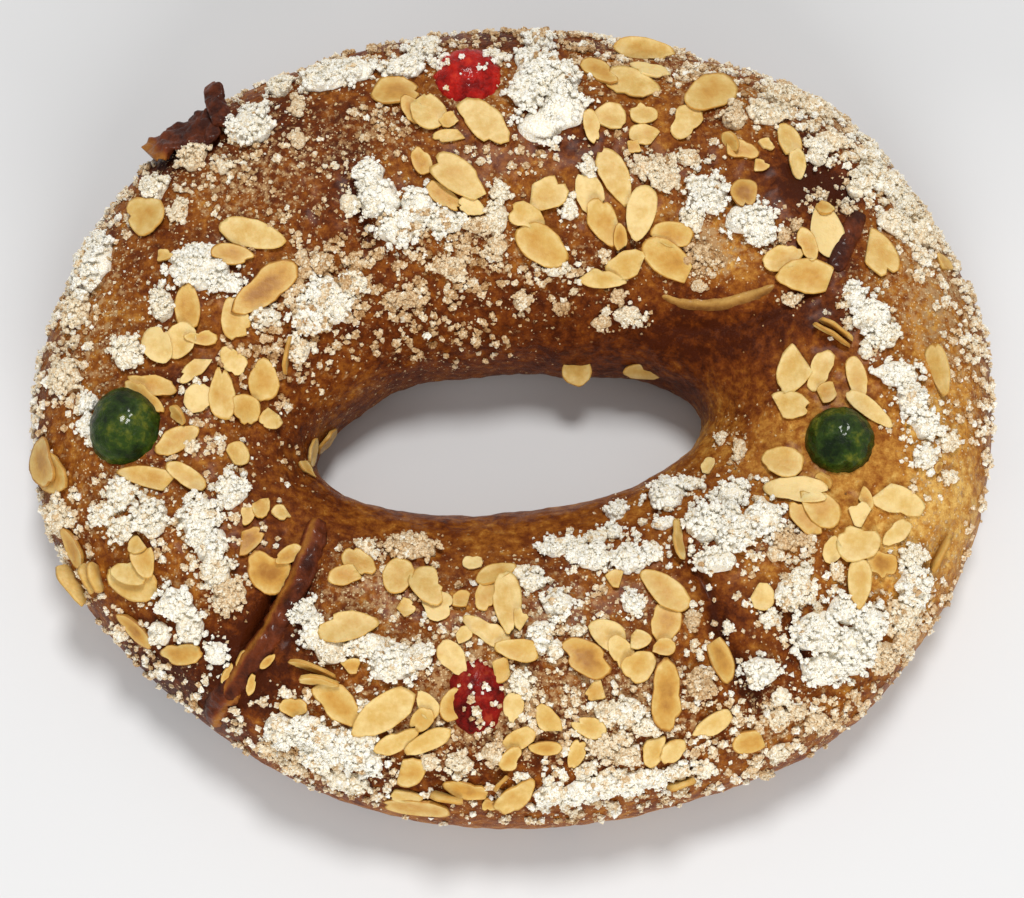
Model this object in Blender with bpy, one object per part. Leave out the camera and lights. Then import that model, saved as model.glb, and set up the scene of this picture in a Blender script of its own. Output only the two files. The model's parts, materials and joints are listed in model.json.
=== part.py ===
"""Three kings cake: an oval ring of sweet bread, with sliced almonds, clumps of damp sugar,
candied cherries and strips of candied peel. Metres, +Z up, standing on its flat base."""

import math
import random

import bmesh
import bpy
from mathutils import Matrix, Vector, noise
from mathutils.bvhtree import BVHTree

MM = 0.001

# The loaf: an oval ring, seen from above. X runs along its length and Y to its far side.
RING_LENGTH = 298 * MM
RING_WIDTH = 254 * MM
HOLE_LENGTH = 122 * MM
HOLE_WIDTH = 47 * MM
HOLE_TURN = math.radians(7)
HOLE_SHIFT = -7.5 * MM
CREST = 50 * MM
WIDEST_AT = 0.28
TOP_ROUNDNESS = 2.3
BASE_ROUNDNESS = 4.0
LUMPINESS = 0.9 * MM
LOAF_STEPS = 80
# The angles over the section that the loaf's rows lie at, from its outer side: few under the base.
SECTION_ANGLES = (0, 14, 30, 48, 66, 82, 98, 114, 132, 150, 166, 180, 208, 236, 304, 332)

# Swells of the ring: where round the ring (degrees), how much (mm), how far it spreads (degrees).
OUTER_SWELLS = ((48, 7.5, 16), (15, 3.5, 17), (132, 2.5, 17), (160, -1.0, 14), (226, -3.5, 20),
                (311, 4.0, 14), (338, 1.5, 14))
INNER_SWELLS = ((66, -3.0, 12), (118, 3.5, 14), (300, 1.5, 14))
CREST_SWELLS = ((90, 5.0, 40), (270, 1.0, 40))

# Clear space between two pieces, and how far a strip is sunk in its seat, in thicknesses.
SEAT_GAP = 0.35 * MM
STRIP_SINK = 0.55

# Where the rays start that look down for the crust, and how far apart they are, in millimetres.
RAY_HEIGHT = 200
RAY_SPREAD = 5

# The tables below are in millimetres and degrees, in plan.
# Sliced almonds: x, y, length, width, turn.
ALMOND_THICKNESS = 1.9 * MM
ALMOND_RISE = 0.3 * MM
ALMOND_BEND = 0.5 * MM
ALMOND_TAPER = 0.22
ALMOND_TILT = 0.1
ALMONDS = (
    (-112, 56, 16, 12, -40), (-97, 25, 15, 8, 95), (-83, 22, 14, 8.5, 100),
    (-86.5, -2, 17, 7.5, 95), (-97, -16, 14, 7, 30), (-106, -28, 21, 6.5, -12),
    (-140, -19, 16, 13, -40), (-111, -57, 18, 11, -10), (-111, -70, 14, 6, -43),
    (-97, -78, 15, 6.5, 14), (-78, 48, 21, 8.5, -17), (-74, 31, 23, 10.5, 40),
    (-74.5, 4, 13, 8.5, 90), (-74, -55, 14, 11, -40), (-35, 95, 15, 10, -5),
    (-25.5, 87, 14.5, 10.5, -65), (-7, 82, 18, 10.5, -45), (-15.5, 64, 22, 9.5, -40),
    (-25, -60, 14, 9.5, -60), (-1, -65, 19, 8, 95),
    (-48, -72, 17, 8.5, 10), (-50, -93, 18, 9, -45), (-37, -97, 20, 9.5, 35),
    (-28, -120, 19, 9, 12), (-12, -117, 15, 6.5, -15), (1, -79, 14, 6.5, -8),
    (27, 101, 14, 7, -50), (38, 97, 17, 11, -15), (42, 111, 18, 6, 12), (62, 95, 20, 12.5, 45),
    (54, 84, 13, 8.5, 60), (32, 65, 19, 7.5, -66), (11, 59, 12.5, 8.5, 25),
    (10, 44, 18, 10.5, -38), (24, 60, 13.5, 8, -75), (40, 54, 17.5, 8, 78),
    (49, 40, 18, 9, -38), (32, 38, 17, 6.5, 15), (96, 49, 17, 9.5, -85), (83, 41, 12, 7.5, 20),
    (89, 35, 18, 10, -3), (112, 43, 17.5, 10.5, -60), (86, 6, 17, 10.5, 55),
    (104, 4, 13, 6, -80), (109, -7, 14, 5.5, -38), (83, -5, 12, 8, -15), (81, -22, 12, 9, -20),
    (85, -32, 19, 7.5, -12), (90, -40, 14, 9, -50), (115, -34, 15, 8, -15),
    (102, -47, 13.5, 10, 10), (102, -58, 14, 7, 85), (45, -61, 17, 8, -42),
    (21.5, -81, 16, 9, -35), (37, -83, 10, 8.5, 30), (45, -70, 11, 9, 80),
    (45, -91, 20, 9.5, -88), (61, -81, 15, 7, -65), (70, -104, 11, 7, 5), (2, -119, 14, 7, 58),
    (85, 77, 16, 7.5, -75),
)

# Clumps of damp sugar: x, y, half width in x, half width in y.
SUGAR_HEIGHT = 0.62
SUGAR_UNEVENNESS = 0.14
SMALL_CLUMP = 6.2
CLUMPS = (
    (-127, 42, 8, 11), (-115, 12, 6, 7), (-94, 37, 12, 7), (-98, 77, 7, 7), (-106, -39, 7, 7),
    (-92, -39, 8, 10), (-85, -52, 7, 8), (-98, -64, 6, 6), (-57, 101, 10, 8), (-80, 85, 9, 9),
    (-33, 103, 9, 5), (-40, 59, 8, 8), (-31, 51, 9, 8), (-34, -82, 9, 7), (-50, -105, 9, 8),
    (-62, -100, 9, 7), (9, 112, 7, 8), (14, 99, 11, 10), (5, 88, 7, 9), (16, 85, 9, 8),
    (60, 60, 8, 8), (73, 51, 9, 7), (47, -30, 7, 8), (60, -43, 11, 9), (73, -40, 7, 7),
    (35, -51, 5, 6), (25, -50, 6, 5), (14, -47, 6, 4.5), (15, -65, 5, 4.5), (9, -74, 5, 5),
    (34, -98, 5, 5), (111, 21, 6.5, 8), (104, 27, 4.5, 5), (118, 3, 9, 5), (122, -9, 7, 7),
    (124, -20, 6, 6), (91, -75, 10, 9), (101, -72, 8, 9), (111, -79, 7, 6), (73, -85, 6, 6),
    (117, -60, 7, 6), (85, 98, 9, 6), (80, 88, 8, 6), (110, 80, 8, 7), (116, 65, 9, 8),
    (95, 77, 5, 7), (30, -119, 10, 4),
)

# Candied cherries: name, x, y, half widths in x, y and z, height of the middle over the crust.
WRINKLES = 0.035
CHERRIES = (
    ("cherry_green_left", -115, -11, 11, 12.5, 10, -2.0),
    ("cherry_green_right", 98, -15.5, 10.5, 10.5, 10, -2.0),
    ("cherry_red_far", -13, 99.5, 11.5, 12, 8, -2.5),
    ("cherry_red_near", -9.5, -91, 9.5, 12.5, 7.5, -3.5),
)

# Strips of candied peel: name, path in plan, width, thickness, lift, curl of the edges.
STRIPS = (
    ("peel_rim", ((-110, 79), (-103, 85), (-96, 90), (-90, 96)), 10, 3.4, 3.4, 2.6),
    ("peel_fold", ((-57, -39), (-59, -49), (-62, -58), (-66, -65), (-70, -73), (-74.5, -79),
                   (-79.5, -85.5), (-83, -90)), 4.6, 4.0, 2.2, -0.6),
    ("peel_curved", ((47, 29.5), (55, 28.6), (61, 28), (67, 28.2), (73, 29.6), (80, 32)),
     4.4, 3.4, 1.6, -0.3),
    ("peel_dark", ((106, 57), (103, 52.5), (100.5, 48.5), (98.5, 45)), 4.4, 3.0, 1.2, 0.0),
)

# Folds in the dough: path in plan, half width and depth. Each is pressed in over a wide stretch
# and then cut as a furrow along its middle.
PRESS_DEPTH = 0.6
PRESS_SPREAD = 1.9
FURROW_RADIUS = 1.6
FURROW_RISE = 0.35
FOLDS = (
    (((-66, -46), (-68, -54), (-70, -61), (-72.5, -69), (-76, -76), (-80, -82)), 3.4, 3.8),
    (((52, -52), (55, -64), (58.5, -78), (62, -91), (69, -95.5), (82, -94.5)), 3.4, 3.2),
    (((-46, 66), (-45, 56), (-42, 42)), 2.2, 2.0),
    (((86, 72), (97, 67), (108, 60)), 5.0, 2.5),
)

DOUGH_ROUGHNESS = 0.6
FRUIT_ROUGHNESS = 0.25
PEEL_ROUGHNESS = 0.35
DOUGH_COLOUR = (0.36, 0.17, 0.06, 1)
GREEN_COLOUR = (0.03, 0.09, 0.01, 1)
RED_COLOUR = (0.42, 0.01, 0.01, 1)
PEEL_COLOURS = {
    "peel_rim": (0.16, 0.05, 0.015, 1),
    "peel_fold": (0.20, 0.08, 0.02, 1),
    "peel_curved": (0.40, 0.19, 0.04, 1),
    "peel_dark": (0.13, 0.03, 0.015, 1),
}

random.seed(6)


def swell(turn, table):
    """The sum of the swells at this turn round the ring, in metres."""
    total = 0.0
    for centre, amount, spread in table:
        apart = (math.degrees(turn) - centre + 180) % 360 - 180
        total += amount * MM * math.exp(-((apart / spread) ** 2))
    return total


def edge_point(turn, length, width, swells):
    """A point on an oval, moved in or out by its swells."""
    point = Vector((length / 2 * math.cos(turn), width / 2 * math.sin(turn)))
    return point * (1 + swell(turn, swells) / point.length)


def signed_power(value, power):
    return math.copysign(abs(value) ** power, value)


def loaf_point(turn, section):
    """The loaf's surface: turn goes round the ring, section from its outer side over the crest."""
    outer = edge_point(turn, RING_LENGTH, RING_WIDTH, OUTER_SWELLS)
    inner = edge_point(turn, HOLE_LENGTH, HOLE_WIDTH, INNER_SWELLS)
    inner.rotate(Matrix.Rotation(HOLE_TURN, 2))
    inner.y += HOLE_SHIFT
    height = CREST + swell(turn, CREST_SWELLS)
    widest = WIDEST_AT * height
    side = math.cos(section)
    rise = math.sin(section)
    if rise >= 0:
        across = signed_power(side, 2 / TOP_ROUNDNESS)
        z = widest + (height - widest) * rise ** (2 / TOP_ROUNDNESS)
    else:
        across = signed_power(side, 2 / BASE_ROUNDNESS)
        z = max(0.0, widest - 1.2 * widest * (-rise) ** (2 / BASE_ROUNDNESS))
    middle = (outer + inner) / 2
    half = (outer - inner) / 2
    place = middle + half * across
    if z > widest:
        z += LUMPINESS * noise.noise(Vector((place.x, place.y, z)) / (16 * MM))
    return Vector((place.x, place.y, z))


def new_collection(name, helper=False):
    made = bpy.data.collections.new(name)
    bpy.context.scene.collection.children.link(made)
    made.hide_render = helper
    return made


def material(name, colour, roughness):
    made = bpy.data.materials.new(name)
    made.use_nodes = True
    shader = made.node_tree.nodes["Principled BSDF"]
    shader.inputs["Base Color"].default_value = colour
    shader.inputs["Roughness"].default_value = roughness
    made.diffuse_color = colour
    return made


def object_from(bm, name, collection):
    """Turns a bmesh into an object whose faces all look outward."""
    bmesh.ops.recalc_face_normals(bm, faces=bm.faces)
    if bm.calc_volume(signed=True) < 0:
        bmesh.ops.reverse_faces(bm, faces=bm.faces)
    mesh = bpy.data.meshes.new(name)
    bm.to_mesh(mesh)
    bm.free()
    made = bpy.data.objects.new(name, mesh)
    collection.objects.link(made)
    return made


def cutter_from(bm, name):
    made = object_from(bm, name, cutters)
    made.hide_render = True
    made.display_type = "WIRE"
    return made


def boolean(target, operation, other, solver="EXACT"):
    """Applies one Boolean to the target, with an object or with a whole collection."""
    modifier = target.modifiers.new(operation.lower(), "BOOLEAN")
    modifier.operation = operation
    modifier.solver = solver
    if isinstance(other, bpy.types.Collection):
        modifier.operand_type = "COLLECTION"
        modifier.collection = other
    else:
        modifier.object = other
    bpy.context.view_layer.objects.active = target
    bpy.ops.object.modifier_apply(modifier=modifier.name)


def keep_one_body(target):
    """Drops loose scraps and fills sealed hollows, by keeping only the largest connected skin."""
    bm = bmesh.new()
    bm.from_mesh(target.data)
    bmesh.ops.remove_doubles(bm, verts=bm.verts, dist=0.001 * MM)
    bm.verts.ensure_lookup_table()
    groups = []
    seen = set()
    for start in bm.verts:
        if start in seen:
            continue
        group = [start]
        seen.add(start)
        for vertex in group:
            for edge in vertex.link_edges:
                other = edge.other_vert(vertex)
                if other not in seen:
                    seen.add(other)
                    group.append(other)
        groups.append(group)
    groups.sort(key=len)
    for group in groups[:-1]:
        bmesh.ops.delete(bm, geom=group, context="VERTS")
    bm.to_mesh(target.data)
    bm.free()


def make_loaf():
    """A torus whose points are moved to the loaf's surface."""
    ring_radius = (RING_LENGTH + HOLE_LENGTH) / 4
    tube_radius = (RING_LENGTH - HOLE_LENGTH) / 4
    rows = len(SECTION_ANGLES)
    bpy.ops.mesh.primitive_torus_add(
        major_segments=LOAF_STEPS, minor_segments=rows,
        major_radius=ring_radius, minor_radius=tube_radius)
    made = bpy.context.object
    made.name = "bread"
    for vertex in made.data.vertices:
        x, y, z = vertex.co
        turn = math.atan2(y, x)
        section = math.atan2(z, math.hypot(x, y) - ring_radius)
        row = round(section / math.tau * rows) % rows
        vertex.co = loaf_point(turn, math.radians(SECTION_ANGLES[row]))
    for other in made.users_collection:
        other.objects.unlink(made)
    cake.objects.link(made)
    return made


def surface_of(target):
    """The object's surface, for finding where a topping lies."""
    bm = bmesh.new()
    bm.from_mesh(target.data)
    tree = BVHTree.FromBMesh(bm)
    bm.free()
    return tree


def on_crust(x, y):
    """The crust's point under a place in plan, in millimetres, and its smoothed outward direction."""
    down = Vector((0, 0, -1))
    point = crust.ray_cast(Vector((x, y, RAY_HEIGHT)) * MM, down)[0]
    normal = Vector()
    for step_x, step_y in ((0, 0), (1, 0), (-1, 0), (0, 1), (0, -1)):
        above = Vector((x + step_x * RAY_SPREAD, y + step_y * RAY_SPREAD, RAY_HEIGHT)) * MM
        normal += crust.ray_cast(above, down)[1] or Vector()
    return point, normal.normalized()


def lying_frame(x, y, turn, tilt=0.0, roll=0.0):
    """A frame lying on the crust: its X follows the turn in plan, its Z points out of the crust."""
    point, normal = on_crust(x, y)
    heading = Vector((math.cos(turn), math.sin(turn), 0))
    along = (heading - normal * heading.dot(normal)).normalized()
    frame = Matrix((along, normal.cross(along), normal)).transposed().to_4x4()
    frame = Matrix.Translation(point) @ frame
    return frame @ Matrix.Rotation(tilt, 4, "Y") @ Matrix.Rotation(roll, 4, "X")


def make_almond(row):
    """A flat pointed slice, bent a little over the crust."""
    x, y, length, width, turn = row
    bm = bmesh.new()
    bmesh.ops.create_cone(
        bm, cap_ends=True, segments=8, radius1=1.0, radius2=0.86, depth=ALMOND_THICKNESS)
    for vertex in bm.verts:
        u, v, w = vertex.co
        narrowing = 1 - ALMOND_TAPER * u
        vertex.co = (u * length / 2 * MM, v * width / 2 * MM * narrowing, w - u * u * ALMOND_BEND)
    tilt = random.uniform(-ALMOND_TILT, ALMOND_TILT)
    roll = random.uniform(-ALMOND_TILT, ALMOND_TILT)
    frame = lying_frame(x, y, math.radians(turn), tilt, roll)
    bmesh.ops.transform(bm, matrix=frame @ Matrix.Translation((0, 0, ALMOND_RISE)), verts=bm.verts)
    return object_from(bm, "almond", toppings)


def make_clump(row):
    """A lump of damp sugar with an uneven skin."""
    x, y, half_x, half_y = row
    point, normal = on_crust(x, y)
    half_z = SUGAR_HEIGHT * min(half_x, half_y)
    bm = bmesh.new()
    if min(half_x, half_y) > SMALL_CLUMP:
        bmesh.ops.create_icosphere(bm, subdivisions=2, radius=1.0)
    else:
        bmesh.ops.create_uvsphere(bm, u_segments=7, v_segments=5, radius=1.0)
    for vertex in bm.verts:
        uneven = 1 + random.uniform(-SUGAR_UNEVENNESS, SUGAR_UNEVENNESS)
        u, v, w = vertex.co * uneven
        vertex.co = (u * half_x * MM, v * half_y * MM, w * half_z * MM)
    upright = Vector((0, 0, 1)).rotation_difference(normal).to_matrix().to_4x4()
    bmesh.ops.transform(bm, matrix=Matrix.Translation(point) @ upright, verts=bm.verts)
    return object_from(bm, "clump", toppings)


def make_cherry(row, grow):
    """A whole candied cherry, wrinkled a little, as a bmesh. The seat is the same, grown."""
    x, y, half_x, half_y, half_z, lift = row[1:]
    point, normal = on_crust(x, y)
    bm = bmesh.new()
    bmesh.ops.create_uvsphere(bm, u_segments=16, v_segments=10, radius=1.0)
    for vertex in bm.verts:
        direction = vertex.co.copy()
        wrinkle = 1 + WRINKLES * noise.noise(direction * 1.7 + Vector((x, y, 0)))
        halves = Vector((half_x, half_y, half_z)) * MM * wrinkle
        vertex.co = direction * halves + direction * grow
    bmesh.ops.translate(bm, vec=point + normal * lift * MM, verts=bm.verts)
    return bm


def path_frames(path):
    """For a path in plan: a function from 0..1 to the crust's point, side direction and normal."""
    points = [Vector(place) for place in path]
    spans = [(second - first).length for first, second in zip(points, points[1:])]
    whole = sum(spans)

    def at(share):
        distance = min(max(share, 0.0), 1.0) * whole
        for index, span in enumerate(spans):
            if distance <= span or index == len(spans) - 1:
                break
            distance -= span
        plan = points[index].lerp(points[index + 1], distance / span)
        before = points[max(index - 1, 0)]
        after = points[min(index + 2, len(points) - 1)]
        start_heading = (points[index + 1] - before).normalized()
        end_heading = (after - points[index]).normalized()
        heading = start_heading.lerp(end_heading, distance / span).normalized()
        point, normal = on_crust(plan.x, plan.y)
        along = Vector((heading.x, heading.y, 0))
        along = (along - normal * along.dot(normal)).normalized()
        return point, along, normal.cross(along), normal

    return at


def make_strip(row, grow):
    """A strip of peel along its path, as a bmesh. The seat is the same, grown."""
    path, width, thickness, lift, curl = row[1:]
    at = path_frames(path)
    bm = bmesh.new()
    bmesh.ops.create_cube(bm, size=2.0)
    long_edges = [e for e in bm.edges if abs(e.verts[0].co.x - e.verts[1].co.x) > 1]
    bmesh.ops.subdivide_edges(bm, edges=long_edges, cuts=9, use_grid_fill=True)
    wide_edges = [e for e in bm.edges if abs(e.verts[0].co.y - e.verts[1].co.y) > 1]
    bmesh.ops.subdivide_edges(bm, edges=wide_edges, cuts=2, use_grid_fill=True)
    for vertex in bm.verts:
        u, v, w = vertex.co
        point, along, side, normal = at((u + 1) / 2)
        taper = 1 - 0.35 * u ** 6
        half_width = width / 2 * MM * taper + grow
        half_thick = thickness / 2 * MM * (1 - 0.3 * v * v) + grow
        rise = (lift - STRIP_SINK * thickness + curl * v * v) * MM
        vertex.co = point + side * v * half_width + normal * (rise + w * half_thick) + along * u * grow
    return bm


def make_fold(row):
    """A round-bottomed furrow along a path, as a cutter."""
    path, half_width, depth = row
    at = path_frames(path)
    bm = bmesh.new()
    bmesh.ops.create_cone(bm, cap_ends=True, segments=8, radius1=1.0, radius2=1.0, depth=2.0)
    long_edges = [e for e in bm.edges if abs(e.verts[0].co.z - e.verts[1].co.z) > 1]
    bmesh.ops.subdivide_edges(bm, edges=long_edges, cuts=11)
    for vertex in bm.verts:
        across, up, u = vertex.co
        point, _, side, normal = at((u + 1) / 2)
        swelling = max(0.15, 1 - abs(u) ** 3)
        place = point + side * across * half_width * MM * swelling
        vertex.co = place + normal * (up + FURROW_RISE) * FURROW_RADIUS * depth * MM * swelling
    return cutter_from(bm, "fold_cutter")


def smooth_fold(target, row):
    """Presses the loaf's own points down along a fold, so that the furrow has sloping sides."""
    path, half_width, depth = row
    points = [Vector(place) * MM for place in path]
    for vertex in target.data.vertices:
        if vertex.co.z < CREST * 0.5:
            continue
        plan = vertex.co.xy
        nearest = min(distance_to_span(plan, a, b) for a, b in zip(points, points[1:]))
        share = nearest / (PRESS_SPREAD * half_width * MM)
        vertex.co.z -= PRESS_DEPTH * depth * MM * math.exp(-(share ** 2))


def distance_to_span(plan, start, end):
    span = end - start
    share = min(max((plan - start).dot(span) / span.length_squared, 0), 1)
    return (plan - start - span * share).length


for old in list(bpy.data.objects):
    bpy.data.objects.remove(old, do_unlink=True)

cake = new_collection("three_kings_cake")
toppings = new_collection("fused_toppings", helper=True)
cutters = new_collection("cutters", helper=True)

bread = make_loaf()
for row in FOLDS:
    smooth_fold(bread, row)
crust = surface_of(bread)
for row in FOLDS:
    boolean(bread, "DIFFERENCE", make_fold(row))

for row in ALMONDS:
    make_almond(row)
for row in CLUMPS:
    make_clump(row)
boolean(bread, "UNION", toppings)
for topping in list(toppings.objects):
    bpy.data.objects.remove(topping, do_unlink=True)
bpy.data.collections.remove(toppings)

for row in CHERRIES:
    piece = object_from(make_cherry(row, 0.0), row[0], cake)
    colour = GREEN_COLOUR if "green" in row[0] else RED_COLOUR
    piece.data.materials.append(material(row[0] + "_fruit", colour, FRUIT_ROUGHNESS))
    boolean(bread, "DIFFERENCE", cutter_from(make_cherry(row, SEAT_GAP), row[0] + "_seat"))
for row in STRIPS:
    piece = object_from(make_strip(row, 0.0), row[0], cake)
    piece.data.materials.append(material(row[0] + "_rind", PEEL_COLOURS[row[0]], PEEL_ROUGHNESS))
    boolean(bread, "DIFFERENCE", cutter_from(make_strip(row, SEAT_GAP), row[0] + "_seat"), "MANIFOLD")

keep_one_body(bread)
bread.data.materials.clear()
bread.data.materials.append(material("baked_dough", DOUGH_COLOUR, DOUGH_ROUGHNESS))
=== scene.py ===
"""Looks of the three kings cake: the baked crust, the sliced almonds, the damp sugar, the candied
cherries and the strips of candied peel, with the table that it lies on, the light and the camera."""

import json
import math
import random

import bmesh
import bpy
from mathutils import Euler, Matrix, Vector, noise
from mathutils.bvhtree import BVHTree

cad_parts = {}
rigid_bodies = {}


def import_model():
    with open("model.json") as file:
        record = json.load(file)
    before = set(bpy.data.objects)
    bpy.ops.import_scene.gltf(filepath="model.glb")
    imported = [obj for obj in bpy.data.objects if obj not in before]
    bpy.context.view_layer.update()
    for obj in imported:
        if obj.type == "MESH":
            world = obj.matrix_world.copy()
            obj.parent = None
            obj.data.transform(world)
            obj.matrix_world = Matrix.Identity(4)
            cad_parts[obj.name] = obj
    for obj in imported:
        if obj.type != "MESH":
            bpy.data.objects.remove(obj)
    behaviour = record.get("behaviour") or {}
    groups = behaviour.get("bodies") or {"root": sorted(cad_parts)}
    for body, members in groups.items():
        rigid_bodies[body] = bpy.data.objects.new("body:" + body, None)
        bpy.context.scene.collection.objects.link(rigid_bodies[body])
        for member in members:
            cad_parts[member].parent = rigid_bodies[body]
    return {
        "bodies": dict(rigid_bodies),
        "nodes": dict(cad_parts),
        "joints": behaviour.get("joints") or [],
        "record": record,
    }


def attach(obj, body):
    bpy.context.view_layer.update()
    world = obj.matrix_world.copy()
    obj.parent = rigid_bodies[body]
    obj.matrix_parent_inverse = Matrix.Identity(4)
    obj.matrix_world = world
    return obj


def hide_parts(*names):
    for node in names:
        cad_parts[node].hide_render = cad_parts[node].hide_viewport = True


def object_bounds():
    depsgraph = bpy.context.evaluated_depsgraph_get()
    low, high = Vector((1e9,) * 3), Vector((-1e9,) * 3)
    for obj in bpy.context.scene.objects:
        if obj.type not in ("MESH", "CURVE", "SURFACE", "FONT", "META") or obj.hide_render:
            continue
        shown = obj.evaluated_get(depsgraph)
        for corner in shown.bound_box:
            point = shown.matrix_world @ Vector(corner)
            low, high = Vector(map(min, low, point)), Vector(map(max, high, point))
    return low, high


MM = 0.001
SEED = 11

# The loaf: an oval ring on the table. X runs along its length and Y to its far side.
RING_LENGTH = 298 * MM
RING_WIDTH = 254 * MM
HOLE_LENGTH = 122 * MM
HOLE_WIDTH = 47 * MM
HOLE_TURN = math.radians(7)
HOLE_SHIFT = -7.5 * MM
CREST = 50 * MM
WIDEST_AT = 0.28
TOP_ROUNDNESS = 2.3
BASE_ROUNDNESS = 4.0
LUMPINESS = 0.9 * MM
TURN_STEPS = 166
SECTION_STEPS = 52
FINER = 2
TOP_SHARE = 0.78

# The loaf starts as a ring spun at this radius from a circle of radius 1.
SPIN_RADIUS = 3

# Swells of the ring: where round the ring (degrees), how much (mm), how far it spreads (degrees).
OUTER_SWELLS = ((48, 7.5, 16), (15, 3.5, 17), (132, 2.5, 17), (160, -1.0, 14), (226, -3.5, 20),
                (311, 4.0, 14), (338, 1.5, 14))
INNER_SWELLS = ((66, -3.0, 12), (118, 3.5, 14), (300, 1.5, 14))
CREST_SWELLS = ((90, 5.0, 40), (270, 1.0, 40))

# All the tables and values below are in millimetres and degrees, in plan, unless they say otherwise.
# Folds in the dough: path, half width and depth. A fold is a furrow with a wider, shallower press.
PRESS_DEPTH = 0.6
PRESS_SPREAD = 1.9
FOLD_REACH = 60
FOLDS = (
    (((-65, -50), (-67, -58), (-70, -65), (-73.5, -72), (-78, -80)), 2.0, 3.4),
    (((-57, -38), (-60, -50), (-65, -62), (-71, -73), (-78, -82), (-86, -92)), 4.6, 1.3),
    (((50, -46), (54.5, -54), (58, -61), (59.7, -68), (62, -74), (64.5, -79), (67, -86), (73, -93),
      (84, -96)), 2.2, 2.4),
    (((-46, 66), (-45, 56), (-42, 42)), 2.2, 2.0),
    (((86, 72), (97, 67), (108, 60)), 5.0, 2.5),
    (((44, 24), (56, 22), (70, 22), (84, 27), (94, 34)), 2.0, 1.6),
    (((50, 17), (62, 15), (76, 17), (88, 24)), 2.4, 1.0),
    (((-56, -52), (-60, -66), (-66, -80)), 1.6, 1.2),
    (((78, -64), (84, -72), (86, -84)), 2.6, 1.4),
)

# Small bumps of the crust: amount and size. Dents come where their noise is over a limit.
CRUST_BUMPS = ((0.5, 6), (0.3, 2.6))
CRUST_DENTS = 0.7
DENT_SIZE = 9
DENT_LIMIT = 0.2

# Heights over the table: where folds, dried sugar and syrup start, and under which the crust is paler.
FOLDS_FROM = 25
DUST_FROM = 12
SYRUP_FROM = 15
PALE_BELOW = 20

# How dark the crust's colour is: as baked all over, darker by each millimetre of a fold as painted shade
# in its crease, paler towards the table, and what is added round some places: x, y, half widths and amount.
MEAN_BAKE = 0.5
FOLD_SHADE = 0.08
FOOT_BAKE = 0.2
# Of these spots, the dark lines at (62, -70), (76, -90), (80, -72) and (-71, -66) are painted shade in
# the folds' creases, and the lighter spot at (58, -8) is painted light on a slope that lies in shade.
BAKE_AND_SHADE_SPOTS = (
    (45, 20, 52, 15, 0.34), (-30, 18, 36, 12, 0.16), (91, 65, 15, 10, 0.5), (92, 82, 7, 5, 0.3),
    (17, 77, 5, 5, 0.3), (26, 78, 5, 5, 0.2), (128, -8, 16, 52, -0.26), (97, -28, 20, 30, -0.26),
    (66, 39, 9, 6, -0.3), (60, 50, 12, 8, -0.12), (-28, -38, 34, 9, 0.08), (62, -70, 4, 12, 0.14),
    (54, -63, 4, 8, -0.2), (76, -90, 12, 7, 0.16), (80, -72, 10, 12, 0.1), (-71, -66, 9, 24, 0.2),
    (-80, -88, 10, 12, 0.25), (-104, -84, 22, 14, 0.22), (-86, -70, 12, 14, 0.12),
    (-102, 84, 16, 12, 0.3), (-126, 18, 8, 22, -0.08), (-118, -20, 12, 12, -0.06),
    (-100, 62, 20, 14, -0.05), (-45, 86, 24, 14, -0.1), (-48, 60, 6, 14, 0.26), (0, 118, 40, 8, 0.26),
    (112, 95, 24, 14, 0.12), (-60, -12, 14, 22, 0.16), (95, 24, 12, 8, 0.2), (20, -104, 40, 10, 0.24),
    (-30, -114, 30, 8, 0.2), (40, -30, 22, 10, -0.08), (128, -62, 14, 14, -0.1), (-104, -12, 12, 8, 0.1),
    (-10, -75, 26, 16, -0.02), (14, -84, 40, 18, 0.1), (-62, 82, 34, 15, 0.36), (-108, 78, 9, 7, 0.2),
    (-96, 52, 22, 14, 0.12), (-108, -86, 24, 14, 0.2), (62, 14, 26, 10, -0.04), (68, -66, 9, 16, 0.08),
    (-56, -70, 8, 22, 0.1), (139, -30, 8, 30, -0.2), (40, 4, 40, 12, 0.04), (-30, 40, 44, 14, 0.1),
    (114, -48, 12, 14, -0.3), (128, -36, 10, 14, -0.2), (58, -8, 10, 12, -0.25), (-74, -88, 12, 10, 0.2),
    (-101, 2, 12, 8, 0.14), (100, 45, 9, 12, 0.3), (112, 24, 14, 14, -0.1), (56, 41, 10, 6, -0.2),
)

# Where fine sugar has dried on the crust: x, y, half widths and amount.
DUSTY_SPOTS = (
    (-38, 82, 20, 12, 0.4), (-84, 64, 22, 16, 0.5), (-62, 76, 20, 14, 0.3), (128, 45, 20, 30, 0.8),
    (134, 0, 16, 34, 0.3), (60, 50, 14, 10, 0.55), (92, 64, 16, 9, -0.6), (60, 41, 11, 5, 0.7),
    (100, 92, 26, 14, 0.7), (45, 105, 30, 12, 0.6), (-126, 24, 12, 36, 0.6), (-112, -34, 16, 12, 0.65),
    (-44, -62, 20, 12, 0.6), (10, -66, 26, 14, 0.5), (34, -96, 34, 16, 0.75), (-18, -92, 26, 18, 0.55),
    (74, -42, 12, 12, 0.5), (80, -98, 16, 10, 0.5), (124, -50, 14, 18, 0.4), (0, 44, 44, 10, 0.35),
    (-56, -100, 18, 12, 0.5), (20, -40, 14, 8, 0.25), (-88, -60, 16, 12, 0.35), (10, -37, 60, 7, -0.7),
    (60, 16, 36, 11, -0.6), (-72, -68, 9, 26, -1.0), (60, -80, 7, 24, -0.7), (-8, 96, 14, 12, 0.5),
    (-8, -90, 14, 12, 0.5), (102, -16, 16, 16, -0.3),
)

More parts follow.
